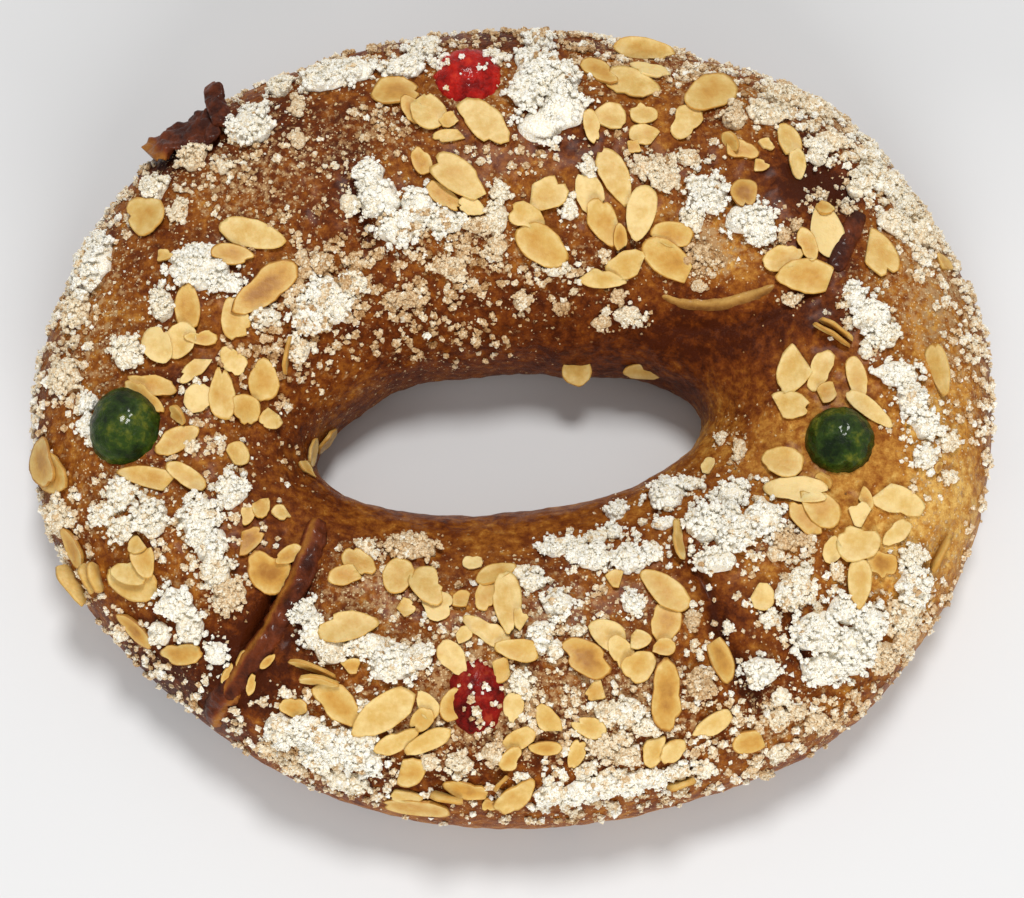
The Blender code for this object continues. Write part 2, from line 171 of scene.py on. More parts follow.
# Syrup that has run out of the fruit: x, y, half widths and amount.
WET_SPOTS = (
    (-70, -60, 6, 16, 1.0), (-60, -46, 8, 8, 0.9), (-54, -35, 4, 4, 1.0), (-76, -80, 7, 12, 0.9),
    (-84, -92, 8, 9, 1.0), (66, 22, 24, 6, 0.8), (-72, -62, 3, 10, 0.8), (98, 50, 7, 8, 0.8),
    (-12, 99, 13, 14, 0.7), (-9.5, -91, 13, 14, 0.8), (-100, 88, 14, 9, 0.8), (45, 16, 40, 10, 0.25),
    (-40, 6, 18, 10, 0.3), (58, -74, 4, 20, 0.5),
)

# A slice of almond: the least and most thickness, the sides of its outline and the insets of its top.
SLICE_THICKNESS = (0.9, 1.25)
SLICE_SIDES = 26
SLICE_INSETS = (0.09, 0.27, 0.3)

# The share of the slices that have lost an end, and the length under which a slice is a scrap.
BROKEN_SHARE = 0.3
SCRAP_LENGTH = 9

# Sliced almonds lying flat, the lower ones first: x, y, length, width, turn and how toasted.
ALMONDS = (
    (-111.5, 56.5, 16, 12.5, -40, 0.45), (-105, 42, 6, 4, 0, 0.3), (-97, 25.5, 15, 8, 95, 0.4),
    (-99, 15, 12, 9, 60, 0.5), (-83, 22, 14, 8.5, 100, 0.5), (-93, 16, 10.5, 4.5, 0, 0.5),
    (-105.5, 13.5, 12, 9, -60, 0.0), (-94, 6.5, 13, 5, 43, 0.5), (-83.5, 9.5, 10, 7, -50, 0.5),
    (-93.5, -2.5, 9.5, 8, 60, 0.1), (-86.5, -1, 17, 8, 95, 0.45), (-107, 1.5, 15.5, 6, -18, 0.6),
    (-109, -2, 15, 5, -38, 0.5), (-80, -5, 10, 9, -40, 0.4), (-99, -15.5, 14.5, 7.5, 30, 0.6),
    (-82, -19, 8.5, 7.5, 0, 0.4), (-106, -27, 22, 6.5, -12, 0.5), (-96, -26.5, 14, 6, -32, 0.4),
    (-138, -23, 16, 12, -20, 0.6), (-140, -19.5, 17, 14, -40, 0.85), (-131, -45, 14, 7, -65, 0.5),
    (-111.5, -57, 18, 11, -10, 0.5), (-111, -54.5, 14, 7.5, 0, 0.3), (-107.5, -51.5, 12, 7, -70, 0.4),
    (-109, -47, 6.5, 5.5, 0, 0.4), (-111, -70, 15, 6, -43, 0.6), (-97, -78, 15.5, 7, 14, 0.5),
    (-35, 95, 16, 10.5, -5, 0.5), (-30, 88, 11, 6, -60, 0.6), (-25.5, 87.5, 14.5, 10.5, -65, 0.6),
    (-19, 84, 8, 5, 30, 0.5), (-18, 79, 12, 4, 5, 0.6), (-8, 83.5, 20, 11, -45, 0.4),
    (-27, 71, 10, 6, -65, 0.5), (-20, 59, 14, 6, -40, 0.5), (-12, 56, 9, 6, -20, 0.4),
    (-15.5, 65, 22, 10.5, -40, 0.5), (-78, 48.5, 21.5, 9, -17, 0.6), (-84, 41.5, 13, 7, -5, 0.7),
    (-74, 31.5, 24.5, 11, 40, 0.85), (-74.5, 4.5, 13.5, 9, 90, 0.4), (-72.5, -6.5, 8.5, 7, 20, 0.5),
    (-62.5, -20.5, 8.5, 5, -50, 0.4), (-62, -13, 10, 5.5, 55, 0.4), (-58, -7, 10, 6.5, 50, 0.4),
    (-77.5, -38, 7, 4.5, 80, 0.3), (-74, -35.5, 8.5, 5.5, 85, 0.4), (-67.7, -37.3, 6.5, 5, 0, 0.3),
    (-77, -46, 12, 7, 40, 1.0), (-71, -55, 15, 12, -40, 0.75), (-65.5, -50, 9.5, 5, 30, 0.5),
    (-44.5, -52.5, 11.5, 8, -40, 0.4), (-48, -56.5, 11, 6.5, 10, 0.4), (-33, -56.5, 12, 9, 75, 0.35),
    (-21.5, -65, 11, 9, -50, 0.3), (-24, -60, 14, 10, -60, 0.3), (-31, -66, 7, 6, 0, 0.3),
    (-10.5, -52, 7, 4.5, 0, 0.0), (-7, -62, 11, 6, 80, 0.4), (-4, -56, 13, 6, 25, 0.5),
    (-7, -73, 16, 6.5, -30, 0.5), (-14.5, -64, 7, 5, 20, 0.3), (-1, -65, 20, 8.5, 95, 0.35),
    (-13.5, -75, 7.5, 4.5, 60, 0.4), (-47, -72, 18, 9.5, 10, 0.45), (-63, -94, 9, 6, 0, 0.9),
    (-46, -83, 8, 4.5, 0, 0.4), (-50, -93, 19, 10, -45, 0.4), (-33, -104, 14, 6, 30, 0.45),
    (-37, -96.5, 21.5, 10, 35, 0.5), (-24, -104, 15, 6, 28, 0.4), (-29.5, -112, 12, 9, 40, 0.5),
    (-31, -118.5, 11, 5, 10, 0.5), (-28, -121.5, 21.5, 9, 12, 0.7), (-12, -117.5, 15.5, 6, -15, 0.5),
    (-6, -121, 6, 4.5, 0, 0.4), (-16.5, -81, 12, 7, -55, 0.4), (-24, -94, 9, 5.5, -60, 0.4),
    (-16.5, -94, 10, 7, 70, 0.4), (-25.5, -98, 9, 6, 50, 0.5), (-2.5, -84, 8.5, 6.5, 45, 0.4),
    (1, -95, 9, 6, 80, 0.4), (38, 98, 18, 11.5, -15, 0.45), (28, 102, 14.5, 8, -50, 0.5),
    (42.4, 103.4, 15, 7.5, 0, 0.0), (54, 85, 14, 9, 60, 0.4), (62, 96, 21, 13, 45, 0.7),
    (30.5, 85.7, 10, 9, 0, 0.4), (25, 82, 11.5, 5, -80, 0.5), (41.4, 79.7, 11, 7, 0, 0.4),
    (41, 87, 9, 8, 0, 0.5), (37.5, 75.5, 6, 4.5, 0, 0.4), (32, 66, 20, 8.5, -66, 0.5),
    (70.7, 75.8, 12, 6.5, -15, 0.6), (78.5, 78, 6, 4, 0, 0.6), (11, 60, 14, 10, 25, 0.4),
    (5, 53.3, 12, 8, -25, 0.4), (24, 61, 14, 8.5, -75, 0.4), (28.2, 51.7, 16, 9, -62, 0.4),
    (33, 47.4, 9, 4.5, -85, 0.4), (9.8, 44.7, 18.5, 11, -38, 0.45), (39.5, 54.5, 18, 9, 78, 0.4),
    (49, 48.4, 13, 8, -10, 0.3), (48.6, 40.5, 20, 10, -38, 0.5), (36, 40, 15, 8.5, 22, 0.4),
    (27.8, 35.9, 15, 6, -10, 0.15), (71, 61, 11, 9, -80, 0.85), (59.8, -21.5, 7, 4, 85, 0.1),
    (31, -57.5, 6.5, 5.5, 0, 0.5), (45.1, -70.4, 12, 9.5, 80, 0.5), (45.1, -60.8, 18, 8.5, -42, 0.8),
    (73, -62.7, 8.5, 8, 0, 0.1), (2, -78.5, 14, 6.5, -8, 0.5), (2.9, -69.4, 8.5, 4.5, -80, 0.4),
    (28.2, -74, 12, 8.5, -35, 0.4), (32, -79, 11, 7, -60, 0.4), (37, -75.6, 8, 6, 0, 0.1),
    (37.4, -82.9, 11, 9, 30, 0.4), (21.7, -80.9, 17, 10, -35, 0.95), (44, -77.6, 8, 5, 0, 0.4),
    (25, -90, 8, 6.5, 0, 0.35), (45.1, -91.2, 21.5, 10, -88, 0.65), (60.8, -80.3, 16, 7.5, -65, 0.65),
    (11, -98.9, 11.5, 6.5, -62, 0.4), (22.6, -100.2, 11, 6, -18, 0.5), (2.5, -103.6, 11, 6, 30, 0.7),
    (10, -105.9, 10, 4.5, -5, 0.5), (19.2, -107.6, 10, 5, 75, 0.5), (0.2, -108.5, 9, 6, 60, 0.4),
    (1.8, -118.5, 16, 8, 58, 0.55), (41.8, -106.3, 11, 7, 80, 0.4), (47, -106, 9, 6.5, 45, 0.4),
    (58.6, -98.9, 13, 6, 33, 0.5), (70.4, -103.3, 12, 8, 5, 0.5), (85.7, 80.4, 12, 7.5, -75, 0.1),
    (87.7, 72.5, 10, 6, -75, 0.4), (76.5, 71, 6, 4, 0, 0.4), (96, 50.3, 18, 10.5, -85, 0.1),
    (95, 57, 8, 5, 0, 0.3), (90.2, 44.8, 11, 5.5, -70, 0.3), (82.8, 41.1, 13, 8, 20, 0.5),
    (89.4, 35.5, 19, 10.5, -3, 0.6), (111.7, 44, 18, 11, -60, 0.7), (133.7, 43, 8.5, 7, -20, 0.5),
    (93, 6, 14, 7, 65, 0.4), (85.9, 7, 17.5, 11, 55, 0.4), (94.5, -1, 8, 6, 40, 0.3),
    (103.8, 3.5, 14, 6, -80, 0.5), (107.1, -6.1, 17, 5.5, -38, 0.3), (84.1, -4.1, 13, 8.5, -10, 0.3),
    (81, -21.8, 13, 9.5, -20, 0.3), (87, -40, 14, 6.5, -55, 0.4), (91, -36, 15, 9.5, -50, 0.4),
    (84.7, -30.8, 20, 8, -8, 0.15), (105, -33, 8, 4, -60, 0.4), (114.7, -33.4, 18, 9, -15, 0.4),
    (102.7, -38.1, 8, 7.5, 0, 0.3), (114, -43, 11, 5.5, 40, 0.5), (94.9, -48.6, 9, 6, 60, 0.4),
    (109.2, -52.3, 10.5, 8.5, -20, 0.85), (102, -58.1, 15, 7.5, 85, 0.15),
    (102.5, -46.6, 14, 11, 10, 0.35), (127, -22.6, 4.5, 4, 0, 0.9),
)

# Sliced almonds standing on edge: x, y, length, width, turn and lean.
EDGE_ALMONDS = (
    (-98.5, -8, 7, 6, -45, 60), (-130, -54, 15, 7, -55, 72), (-124, -54.5, 10, 6, -80, 78),
    (-121.5, -54.5, 10, 6, -83, 80), (-83, -83.5, 7, 2.4, 60, 30), (-79, -80, 6, 2.2, 70, 30),
    (-75.5, -87, 7, 2.6, 70, 30), (-70.5, -81, 6, 2.4, 40, 30), (-68.5, 12.5, 12, 6.5, 85, 72),
    (-57, -83, 15, 6, -18, 70), (-55, -86.5, 12, 6, -8, 66), (-18, -118, 10, 6, -15, 72),
    (41.7, 111.6, 20, 7, 4, 60), (49.3, -45.3, 14, 6, 95, 60), (96.9, 17.3, 13, 5, -33, 98),
    (98.1, 19.3, 13, 5, -33, 98), (128.5, 7, 17, 7, -72, 66), (126.8, -46.9, 13, 6, 60, 72),
    (68, 78, 7, 5.5, -50, 66), (49.5, -113.5, 9, 6, 15, 66), (93, -28, 6, 5.5, -40, 70),
    (-3, -114.5, 6, 5.5, 60, 66),
)

# Sliced almonds stuck to the wall of the hole: x, y, z, length, width, turn and slope.
WALL_ALMONDS = ((20.9, 15.2, 22, 12.5, 9, 90, 42), (43.5, 14.5, 20, 16, 7, -4, 62))

# Clumps of damp sugar: their least height, how much they rise with their width, how far apart their
# knobs' outline waves are, and for each x, y, half widths and how toasted.
CLUMP_BASE = 0.8
CLUMP_RISE = 0.5
CLUMP_WAVES = 3.4
CLUMPS = (
    (-128, 43, 9, 13, 0), (-132, 27, 6, 7, 0.24), (-134, 6, 6.5, 6.5, 0.22), (-115, 12, 6, 7, 0.1),
    (-105, 26, 4.5, 6.5, 0.1), (-94, 37, 13, 7, 0), (-99, 41, 6, 4, 0), (-92, 43, 6, 4, 0),
    (-85, 33, 6, 4, 0), (-74, 23, 6, 4, 0.1), (-110, 66, 6, 6, 0.1), (-101, 57, 4, 4, 0.2),
    (-98, 77, 6, 7, 0.25), (-88, 71, 3, 3, 0.2), (-126, -3, 3.5, 3.5, 0), (-127, -10, 3.5, 5, 0),
    (-124, -15, 3, 3, 0.1), (-115, -31, 6, 5, 0.05), (-121, -37, 4.5, 4, 0.05), (-106, -39, 7, 7, 0.05),
    (-115, -42, 5, 5, 0.1), (-83, -31, 6, 7, 0.02), (-92, -39, 7, 8, 0.02), (-88, -47, 7, 7, 0.02),
    (-86, -55, 6, 6, 0.1), (-82, -62, 6, 6, 0.3), (-98, -64, 7, 6, 0), (-103, -72, 5, 5, 0.05),
    (-94, -71, 6, 6, 0.05), (-86, -78.5, 4.5, 4.5, 0), (-95, -17.5, 3, 3, 0.2), (-116, -70, 3, 3, 0.1),
    (-137, -36, 8, 5, 0.2), (-57, 102, 10, 8, 0), (-48, 104, 8, 6, 0), (-72, 100, 5, 5, 0.1),
    (-66, 92, 3, 6, 0.3), (-80, 85, 9.5, 9, 0.02), (-65, 79, 3, 4, 0.3), (-27, 112, 7, 6, 0.02),
    (-33, 104, 9, 6, 0.02), (-20, 104, 4, 4, 0.05), (-5, 107, 4, 4, 0.1), (-43, 67, 6, 6, 0),
    (-40, 59, 8, 8, 0), (-34, 50, 8, 7, 0), (-28, 57, 7, 7, 0), (-20, 52, 8, 5, 0.02),
    (-8, 51, 8, 3.5, 0.3), (-49, 58, 4, 4, 0.15), (-19, 39, 7, 3.5, 0.3), (-31, 30, 7, 3, 0.4),
    (-56, 31, 7, 6, 0.02), (-53, 26, 6, 5, 0.05), (-61, 23, 7, 6, 0.02), (-64, 14, 4.5, 4.5, 0.1),
    (-48, 34, 6, 5, 0.1), (-63, 41, 2.5, 4, 0.3), (-57, 39, 4, 4, 0.5), (-29, -47, 10, 5, 0.35),
    (-43, -47.5, 3.5, 3, 0.2), (-60, -67, 5, 5, 0.02), (-57, -73, 5, 6, 0.02), (-52, -78, 6, 6, 0.1),
    (-34, -82, 10, 7, 0.02), (-41, -77, 7, 5, 0.05), (-26, -80, 5, 5, 0.05), (-66, -100, 7, 7, 0.02),
    (-58, -101, 8, 6, 0), (-50, -105, 9, 7, 0), (-43, -109, 8, 6, 0), (-56, -108, 7, 5, 0.05),
    (-48, -114, 9, 4.5, 0.1), (-42, -103, 6, 4, 0.05), (-70, -105, 5, 4, 0.3), (-64, -110, 6, 3, 0.2),
    (-23.5, -110, 3.5, 3.5, 0.2), (-15, -110, 5, 3.5, 0.2), (-5, -107.5, 4, 4, 0.3),
    (-65, -90.5, 2.5, 2.5, 0.1), (9, 115, 6, 6, 0), (8, 105, 9, 7, 0), (14, 99, 10, 8, 0),
    (5, 95, 7, 9, 0), (16, 88, 9, 9, 0), (9, 82, 8, 7, 0), (43, 69, 8, 4, 0.25),
    (54.5, 72.7, 5, 3.5, 0.2), (69, 87, 5, 6, 0.3), (47, 66, 6, 5, 0.2), (60, 61, 8, 8, 0),
    (56, 53, 4, 5, 0.1), (73, 53, 9, 7, 0), (77, 49, 5, 5, 0), (24, 68, 3, 6, 0.1),
    (3.5, 30, 3.5, 4, 0.35), (16, 28, 3, 2.5, 0.5), (28, 24, 4, 2.5, 0.35), (36, 26, 6, 4, 0.15),
    (33, 31, 3, 3, 0.4), (57, 33.5, 2.5, 2.5, 0.3), (14, 38, 4, 3, 0.1), (-3, 61, 4, 4, 0.15),
    (-4, 53, 4, 7, 0.15), (-4, 45, 4, 4, 0.3), (18, 56, 3, 5, 0.1), (32, -35, 4.5, 4.5, 0),
    (31, -42, 3, 4, 0), (26, -44, 4, 3.5, 0.05), (14, -47, 6, 4.5, 0), (20, -48, 5, 4, 0),
    (25, -51, 6, 5.5, 0), (35, -51, 5.5, 6, 0), (42, -49, 4, 4.5, 0), (47, -30, 7, 8, 0),
    (45, -40, 4, 3, 0), (55, -27, 4, 3, 0.1), (66, -31, 6, 5, 0.02), (58, -40, 8, 8, 0),
    (66, -43, 8, 8, 0), (60, -52, 8, 5, 0.02), (75, -39, 7, 7, 0), (64, -12, 2, 3.5, 0.2),
    (69, -16, 2.5, 5, 0.3), (78, -50, 3.5, 3, 0.3), (6.5, -58, 5, 4, 0.05), (2, -55, 4, 3, 0.1),
    (14, -65, 6, 5, 0), (9, -74, 5, 5.5, 0), (13, -79, 3, 3, 0.1), (36, -65, 4, 4, 0),
    (53, -70, 3, 3, 0.4), (20, -73, 3, 2, 0.2), (34, -96, 6, 5, 0.05), (3, -88, 4, 5, 0.1),
    (40, -100, 5, 4, 0.15), (28, -96, 5, 4, 0.15), (55, -88, 5, 6, 0.4), (57, -111, 4.5, 3, 0.1),
    (73, -84, 6, 6, 0), (79, -91, 3, 4, 0.1), (64, -71.5, 2, 2, 0.1), (76, -69, 4, 3, 0.05),
    (81, -62, 5, 5, 0.05), (85, -57, 4, 4, 0.1), (34, -108, 6, 4, 0.25), (26, -105, 5, 4, 0.25),
    (12, -119, 6, 4.5, 0), (20, -117.5, 6, 5, 0), (28, -116, 6, 5, 0), (35, -115, 6, 5, 0),
    (42, -114, 6, 4.5, 0), (49, -112, 5, 4, 0.05), (22, -112, 4, 3, 0.1), (85, 97, 8, 6, 0.16),
    (79, 89, 8, 5, 0.16), (95, 94, 6, 5, 0.25), (100, 82, 6, 4, 0.2), (112, 78, 7, 5, 0.12),
    (95, 77, 4.5, 6, 0.1), (115, 69, 9, 6, 0.1), (122, 62, 8, 7, 0.12), (118, 54, 7, 6, 0.14),
    (127, 53, 6, 7, 0.2), (108, 66, 5, 5, 0.12), (103.5, 57.5, 3, 2, 0.3), (96, 62, 2.5, 2, 0.3),
    (87, 51, 2.5, 2, 0.4), (83, 48, 2.5, 2, 0.4), (85, 29, 4, 2.5, 0.3), (104, 29, 4.5, 4.5, 0),
    (57.5, 43, 4, 3.5, 0.42), (54, 41, 3, 2.5, 0.5), (109, 23, 7, 7, 0), (113, 17, 5, 5, 0.05),
    (107, 12, 3, 3, 0.1), (116, 5, 9, 4.5, 0), (120, -3, 6, 6, 0), (124, -10, 6, 6, 0),
    (124, -20, 5, 5, 0.05), (131, -15, 4, 4, 0.2), (131, -25, 3, 2.5, 0.2), (81, -46, 5, 4, 0.4),
    (88, -45, 3, 3, 0.4), (96, -55, 2.5, 4, 0.3), (84, -60, 4, 5, 0.1), (119, -50, 6, 4, 0.1),
    (119, -58, 7, 7, 0.02), (99, -66, 8, 6, 0), (90, -73, 9, 8, 0), (100, -77, 9, 9, 0),
    (92, -83, 9, 6, 0), (105, -69, 7, 7, 0), (110, -78, 7, 6, 0.3), (116, -66, 6, 6, 0.15),
    (117, -72, 5, 5, 0.3), (84, -95, 4, 3, 0.25), (90, -97, 5, 3, 0.3), (78, -97, 4, 4, 0.2),
    (79, -106, 4.5, 4, 0.15), (77, -111, 3, 2, 0.3), (95, -98, 5, 2, 0.4),
)

# Loose crumbs of sugar: x, y, half widths, how many, their mean radius and how toasted they are.
CRUMB_FIELDS = (
    (-34, 32, 32, 13, 260, 0.95, 0.62), (-20, 22, 26, 8, 130, 0.85, 0.72),
    (-60, 32, 12, 18, 100, 0.9, 0.4), (-72, 52, 16, 10, 55, 0.7, 0.6), (8, 38, 24, 9, 115, 0.9, 0.5),
    (-38, 84, 14, 12, 100, 0.75, 0.6), (-90, 68, 12, 12, 75, 0.8, 0.5), (-60, 72, 14, 14, 45, 0.7, 0.5),
    (-132, 16, 7, 26, 115, 0.9, 0.34), (-124, 52, 10, 12, 55, 0.8, 0.3), (0, 70, 18, 9, 75, 0.8, 0.5),
    (42, 104, 34, 10, 165, 0.9, 0.65), (10, 119, 22, 5, 65, 0.9, 0.7), (50, 74, 22, 12, 100, 0.75, 0.45),
    (92, 96, 18, 10, 140, 0.9, 0.36), (118, 74, 14, 16, 210, 0.95, 0.26),
    (130, 48, 12, 22, 180, 0.85, 0.34), (138, 14, 8, 26, 100, 0.8, 0.36), (100, 60, 14, 10, 35, 0.7, 0.4),
    (106, 24, 12, 12, 55, 0.8, 0.3), (122, -10, 12, 20, 75, 0.8, 0.3), (118, -66, 12, 12, 130, 0.9, 0.45),
    (100, -92, 20, 8, 65, 0.8, 0.45), (82, -98, 14, 8, 90, 0.85, 0.35), (60, -92, 16, 14, 110, 0.8, 0.4),
    (34, -100, 30, 10, 210, 0.9, 0.35), (0, -100, 26, 12, 110, 0.85, 0.45),
    (26, -116, 30, 6, 130, 0.95, 0.2), (10, -66, 30, 14, 115, 0.8, 0.35),
    (-30, -74, 24, 12, 100, 0.8, 0.4), (-36, -50, 16, 7, 65, 0.85, 0.45),
    (-56, -98, 20, 12, 130, 0.9, 0.3), (-90, -50, 20, 18, 130, 0.85, 0.35),
    (-112, -34, 16, 14, 100, 0.85, 0.35), (-134, -38, 8, 14, 65, 0.85, 0.4),
    (-100, -18, 16, 10, 35, 0.75, 0.4), (66, -36, 26, 16, 100, 0.8, 0.25),
    (30, -50, 24, 10, 80, 0.8, 0.2), (84, -58, 14, 14, 65, 0.8, 0.35), (-84, 78, 14, 10, 60, 0.8, 0.5),
    (-50, 104, 20, 7, 60, 0.85, 0.3), (-60, 14, 12, 12, 45, 0.8, 0.5), (-76, -14, 14, 18, 35, 0.7, 0.45),
    (-5, 105, 5, 6, 30, 0.75, 0.0), (-20, 106, 5, 4, 25, 0.75, 0.05), (-14, 98, 10, 10, 8, 0.6, 0.3),
    (-9.5, -91, 8, 11, 30, 0.6, 0.3), (60, 40, 10, 4, 45, 0.75, 0.55),
)

# Crumbs stuck along the ring: turns from and to, how far in from the outer rim from and to, how
# many, their mean radius and how toasted they are.
CRUMB_BANDS = (
    (-36, -8, 0.0, 0.08, 90, 0.8, 0.5), (-8, 22, 0.0, 0.14, 260, 0.85, 0.4),
    (22, 52, 0.0, 0.26, 520, 0.9, 0.26), (52, 82, 0.0, 0.2, 420, 0.9, 0.4),
    (80, 114, 0.0, 0.15, 300, 0.85, 0.6), (112, 140, 0.0, 0.12, 130, 0.85, 0.45),
    (140, 166, 0.0, 0.14, 170, 0.85, 0.45), (164, 206, 0.0, 0.16, 480, 0.9, 0.3),
    (204, 232, 0.0, 0.14, 200, 0.85, 0.45), (232, 300, 0.0, 0.2, 640, 0.9, 0.38),
    (298, 326, 0.0, 0.14, 150, 0.85, 0.45), (95, 165, 0.62, 0.93, 520, 0.9, 0.62),
    (165, 215, 0.55, 0.8, 110, 0.8, 0.5), (262, 320, 0.3, 0.7, 260, 0.8, 0.4),
)
FINE_CRUMBS = 380

# How many grains stick together in a crumb and in a fine crumb, and the radius of the finer ones.
CRUMB_GRAINS = (2, 3, 5, 8, 11, 15)
FINE_GRAINS = (1, 2, 3, 5)
FINE_RADIUS = (0.16, 0.34)

# Knobs of a clump to a square millimetre, and grains to a knob of 1 mm radius.
KNOBS_PER_AREA = 0.8
GRAINS_PER_KNOB = 4.6

# The least, greatest and usual radius of a knob, of a grain on it and of one at a clump's foot.
KNOB_RADIUS = (0.45, 1.35, 0.8)
KNOB_GRAIN = (0.26, 0.55, 0.36)
FOOT_GRAIN = (0.25, 0.8, 0.36)

# Candied cherries: name, flesh, x, y, half widths in x, y and z, height of the middle over the crust
# and how deep its skin is pleated, as a share of its size.
CHERRIES = (
    ("cherry_green_left", "green", -115, -11, 11, 12.5, 10, -2.0, 0.05),
    ("cherry_green_right", "green", 98, -15.5, 10.5, 10.5, 10, -2.0, 0.05),
    ("cherry_red_far", "red", -13, 99.5, 11.5, 12, 8, -2.5, 0.12),
    ("cherry_red_near", "dark_red", -9.5, -91, 9.5, 12.5, 7, -4.0, 0.12),
)

# Strips of candied peel. Each has a path, a width, a thickness, how high it lies and how much higher its
# start is, the curl of its edges, its crumpling, where across it the amber line of painted light runs
# (-1 to 1), how much painted amber light its start has, and how much its ends narrow and sink.
ENDS_NARROW = 0.35
STRIP_SINK = 0.55
STRIP_CUTS = (70, 15, 3)
STRIPS = {
    "peel_rim": dict(
        path=((-110, 76.5), (-104, 81.5), (-97, 85), (-90, 87)), width=18, thickness=4.6, lift=3.6,
        start_lift=3.0, curl=0.8, crumple=2.4, lit=5, start_amber=0.9),
    "peel_rim_end": dict(
        path=((-90.5, 96.5), (-89.5, 91), (-88, 84)), width=7.0, thickness=3.4, lift=5.0,
        start_lift=4.6, curl=0.4, crumple=1.6, lit=-1.6, start_amber=0.1),
    "peel_fold": dict(
        path=((-57, -39), (-59, -49), (-62, -58), (-66, -65), (-70, -73), (-74.5, -79), (-79.5, -85.5),
              (-83, -90)), width=8.2, thickness=4.4, lift=3.0, curl=-0.4, crumple=1.5, lit=-0.5),
    "peel_fold_end": dict(
        path=((-79, -85), (-85, -91), (-90, -96)), width=9.0, thickness=4.4, lift=2.2, curl=-0.6,
        crumple=1.8, lit=0.7),
    "peel_curved": dict(
        path=((44.5, 31), (49.5, 29.5), (55, 28.4), (60.5, 27.8), (66, 28.1), (72, 29.4), (77, 31),
              (82, 33.2)), width=6.2, thickness=3.6, lift=0.9, curl=-0.8, crumple=0.5, lit=0.35,
        narrowing=0.8),
    "peel_dark": dict(
        path=((107, 57), (104.5, 51), (102, 45.5), (99.8, 41), (98, 37.5)), width=6.6, thickness=3.4,
        lift=1.9, curl=0.0, crumple=0.8, lit=1.6),
}

# The most grains in one piece, and in one batch while it is made.
HEAP_LIMIT = 9000
BATCH = 40

# Rays that find the crust start at this height, this far apart. Those under a slice reach this far,
# and count a gap as no deeper than this. Those from a grain find what has to stay clean.
RAY_HEIGHT = 200
RAY_SPREAD = 4
SLICE_REACH = 12 * MM
DEEPEST_GAP = 2 * MM
CLEAN_REACH = 6 * MM

# Grains and crumbs keep this far inside the frame's box.
GRAIN_MARGIN = 0.8 * MM
CRUMB_MARGIN = 0.9 * MM
DOWN = Vector((0, 0, -1))

# The lamps: name, place and size in metres, watts, and whether the glaze mirrors it.
LAMPS = (("ceiling", (0.22, 1.34, 3.0), 0.85, 70, True), ("window", (0.15, -1.6, 0.85), 1.0, 21, False))
LIGHT_COLOUR = (1.0, 0.99, 0.975)
ROOM_STRENGTH = 0.425

# The camera looks down from the near side.
CAMERA_DISTANCE = 700 * MM
CAMERA_ELEVATION = math.radians(76)
CAMERA_AIM = Vector((0, -5, 18)) * MM
CAMERA_LENS = 78.75
CAMERA_SHIFT = (0.00195, -0.0166)

random.seed(SEED)


def swell(turn, table):
    """The sum of the swells at this turn round the ring, in metres."""
    total = 0.0
    for centre, amount, spread in table:
        apart = (math.degrees(turn) - centre + 180) % 360 - 180
        total += amount * MM * math.exp(-((apart / spread) ** 2))
    return total


def edge_point(turn, length, width, swells):
    """A point on an oval, moved in or out by its swells."""
    point = Vector((length / 2 * math.cos(turn), width / 2 * math.sin(turn)))
    return point * (1 + swell(turn, swells) / point.length)


def clamp(value, low=0.0, high=1.0):
    return min(max(value, low), high)


def oval_place(x, y, half_x, half_y, turn, away):
    """A place round the middle of an oval, whose rim is 1 away."""
    return x + half_x * away * math.cos(turn), y + half_y * away * math.sin(turn)


def random_direction():
    return Vector([random.gauss(0, 1) for _ in range(3)]).normalized()


def random_turn():
    return Euler([random.uniform(0, math.tau) for _ in range(3)]).to_matrix().to_4x4()


def signed_power(value, power):
    """A power of the size of a value, with the value's sign."""
    return math.copysign(abs(value) ** power, value)


def loaf_column(turn):
    """What the loaf's section needs at one turn round the ring: its two edges and its height."""
    outer = edge_point(turn, RING_LENGTH, RING_WIDTH, OUTER_SWELLS)
    inner = edge_point(turn, HOLE_LENGTH, HOLE_WIDTH, INNER_SWELLS)
    inner.rotate(Matrix.Rotation(HOLE_TURN, 2))
    inner.y += HOLE_SHIFT
    return outer, inner, CREST + swell(turn, CREST_SWELLS)


def loaf_point(column, section):
    """The loaf's surface: section goes from the ring's outer side over the crest."""
    outer, inner, height = column
    widest = WIDEST_AT * height
    side = math.cos(section)
    rise = math.sin(section)
    if rise >= 0:
        across = signed_power(side, 2 / TOP_ROUNDNESS)
        z = widest + (height - widest) * rise ** (2 / TOP_ROUNDNESS)
    else:
        across = signed_power(side, 2 / BASE_ROUNDNESS)
        z = max(0.0, widest - 1.2 * widest * (-rise) ** (2 / BASE_ROUNDNESS))
    place = (outer + inner) / 2 + (outer - inner) / 2 * across
    if z > widest:
        z += LUMPINESS * noise.noise(Vector((place.x, place.y, z)) / (16 * MM))
    return Vector((place.x, place.y, z))


def spots(x, y, table):
    """The sum of soft oval spots at a place in plan, all in millimetres."""
    total = 0.0
    for centre_x, centre_y, half_x, half_y, amount in table:
        reach = ((x - centre_x) / half_x) ** 2 + ((y - centre_y) / half_y) ** 2
        if reach < 5:
            total += amount * math.exp(-reach)
    return total


def nearest_on_path(plan, path):
    """How far a place in plan is from a path, in millimetres, and how far along it, from 0 to 1."""
    nearest = (math.inf, 0.0)
    for index, (start, end) in enumerate(zip(path, path[1:])):
        start, end = Vector(start), Vector(end)
        span = end - start
        share = clamp((plan - start).dot(span) / span.length_squared)
        away = (plan - start - span * share).length
        nearest = min(nearest, (away, (index + share) / (len(path) - 1)))
    return nearest


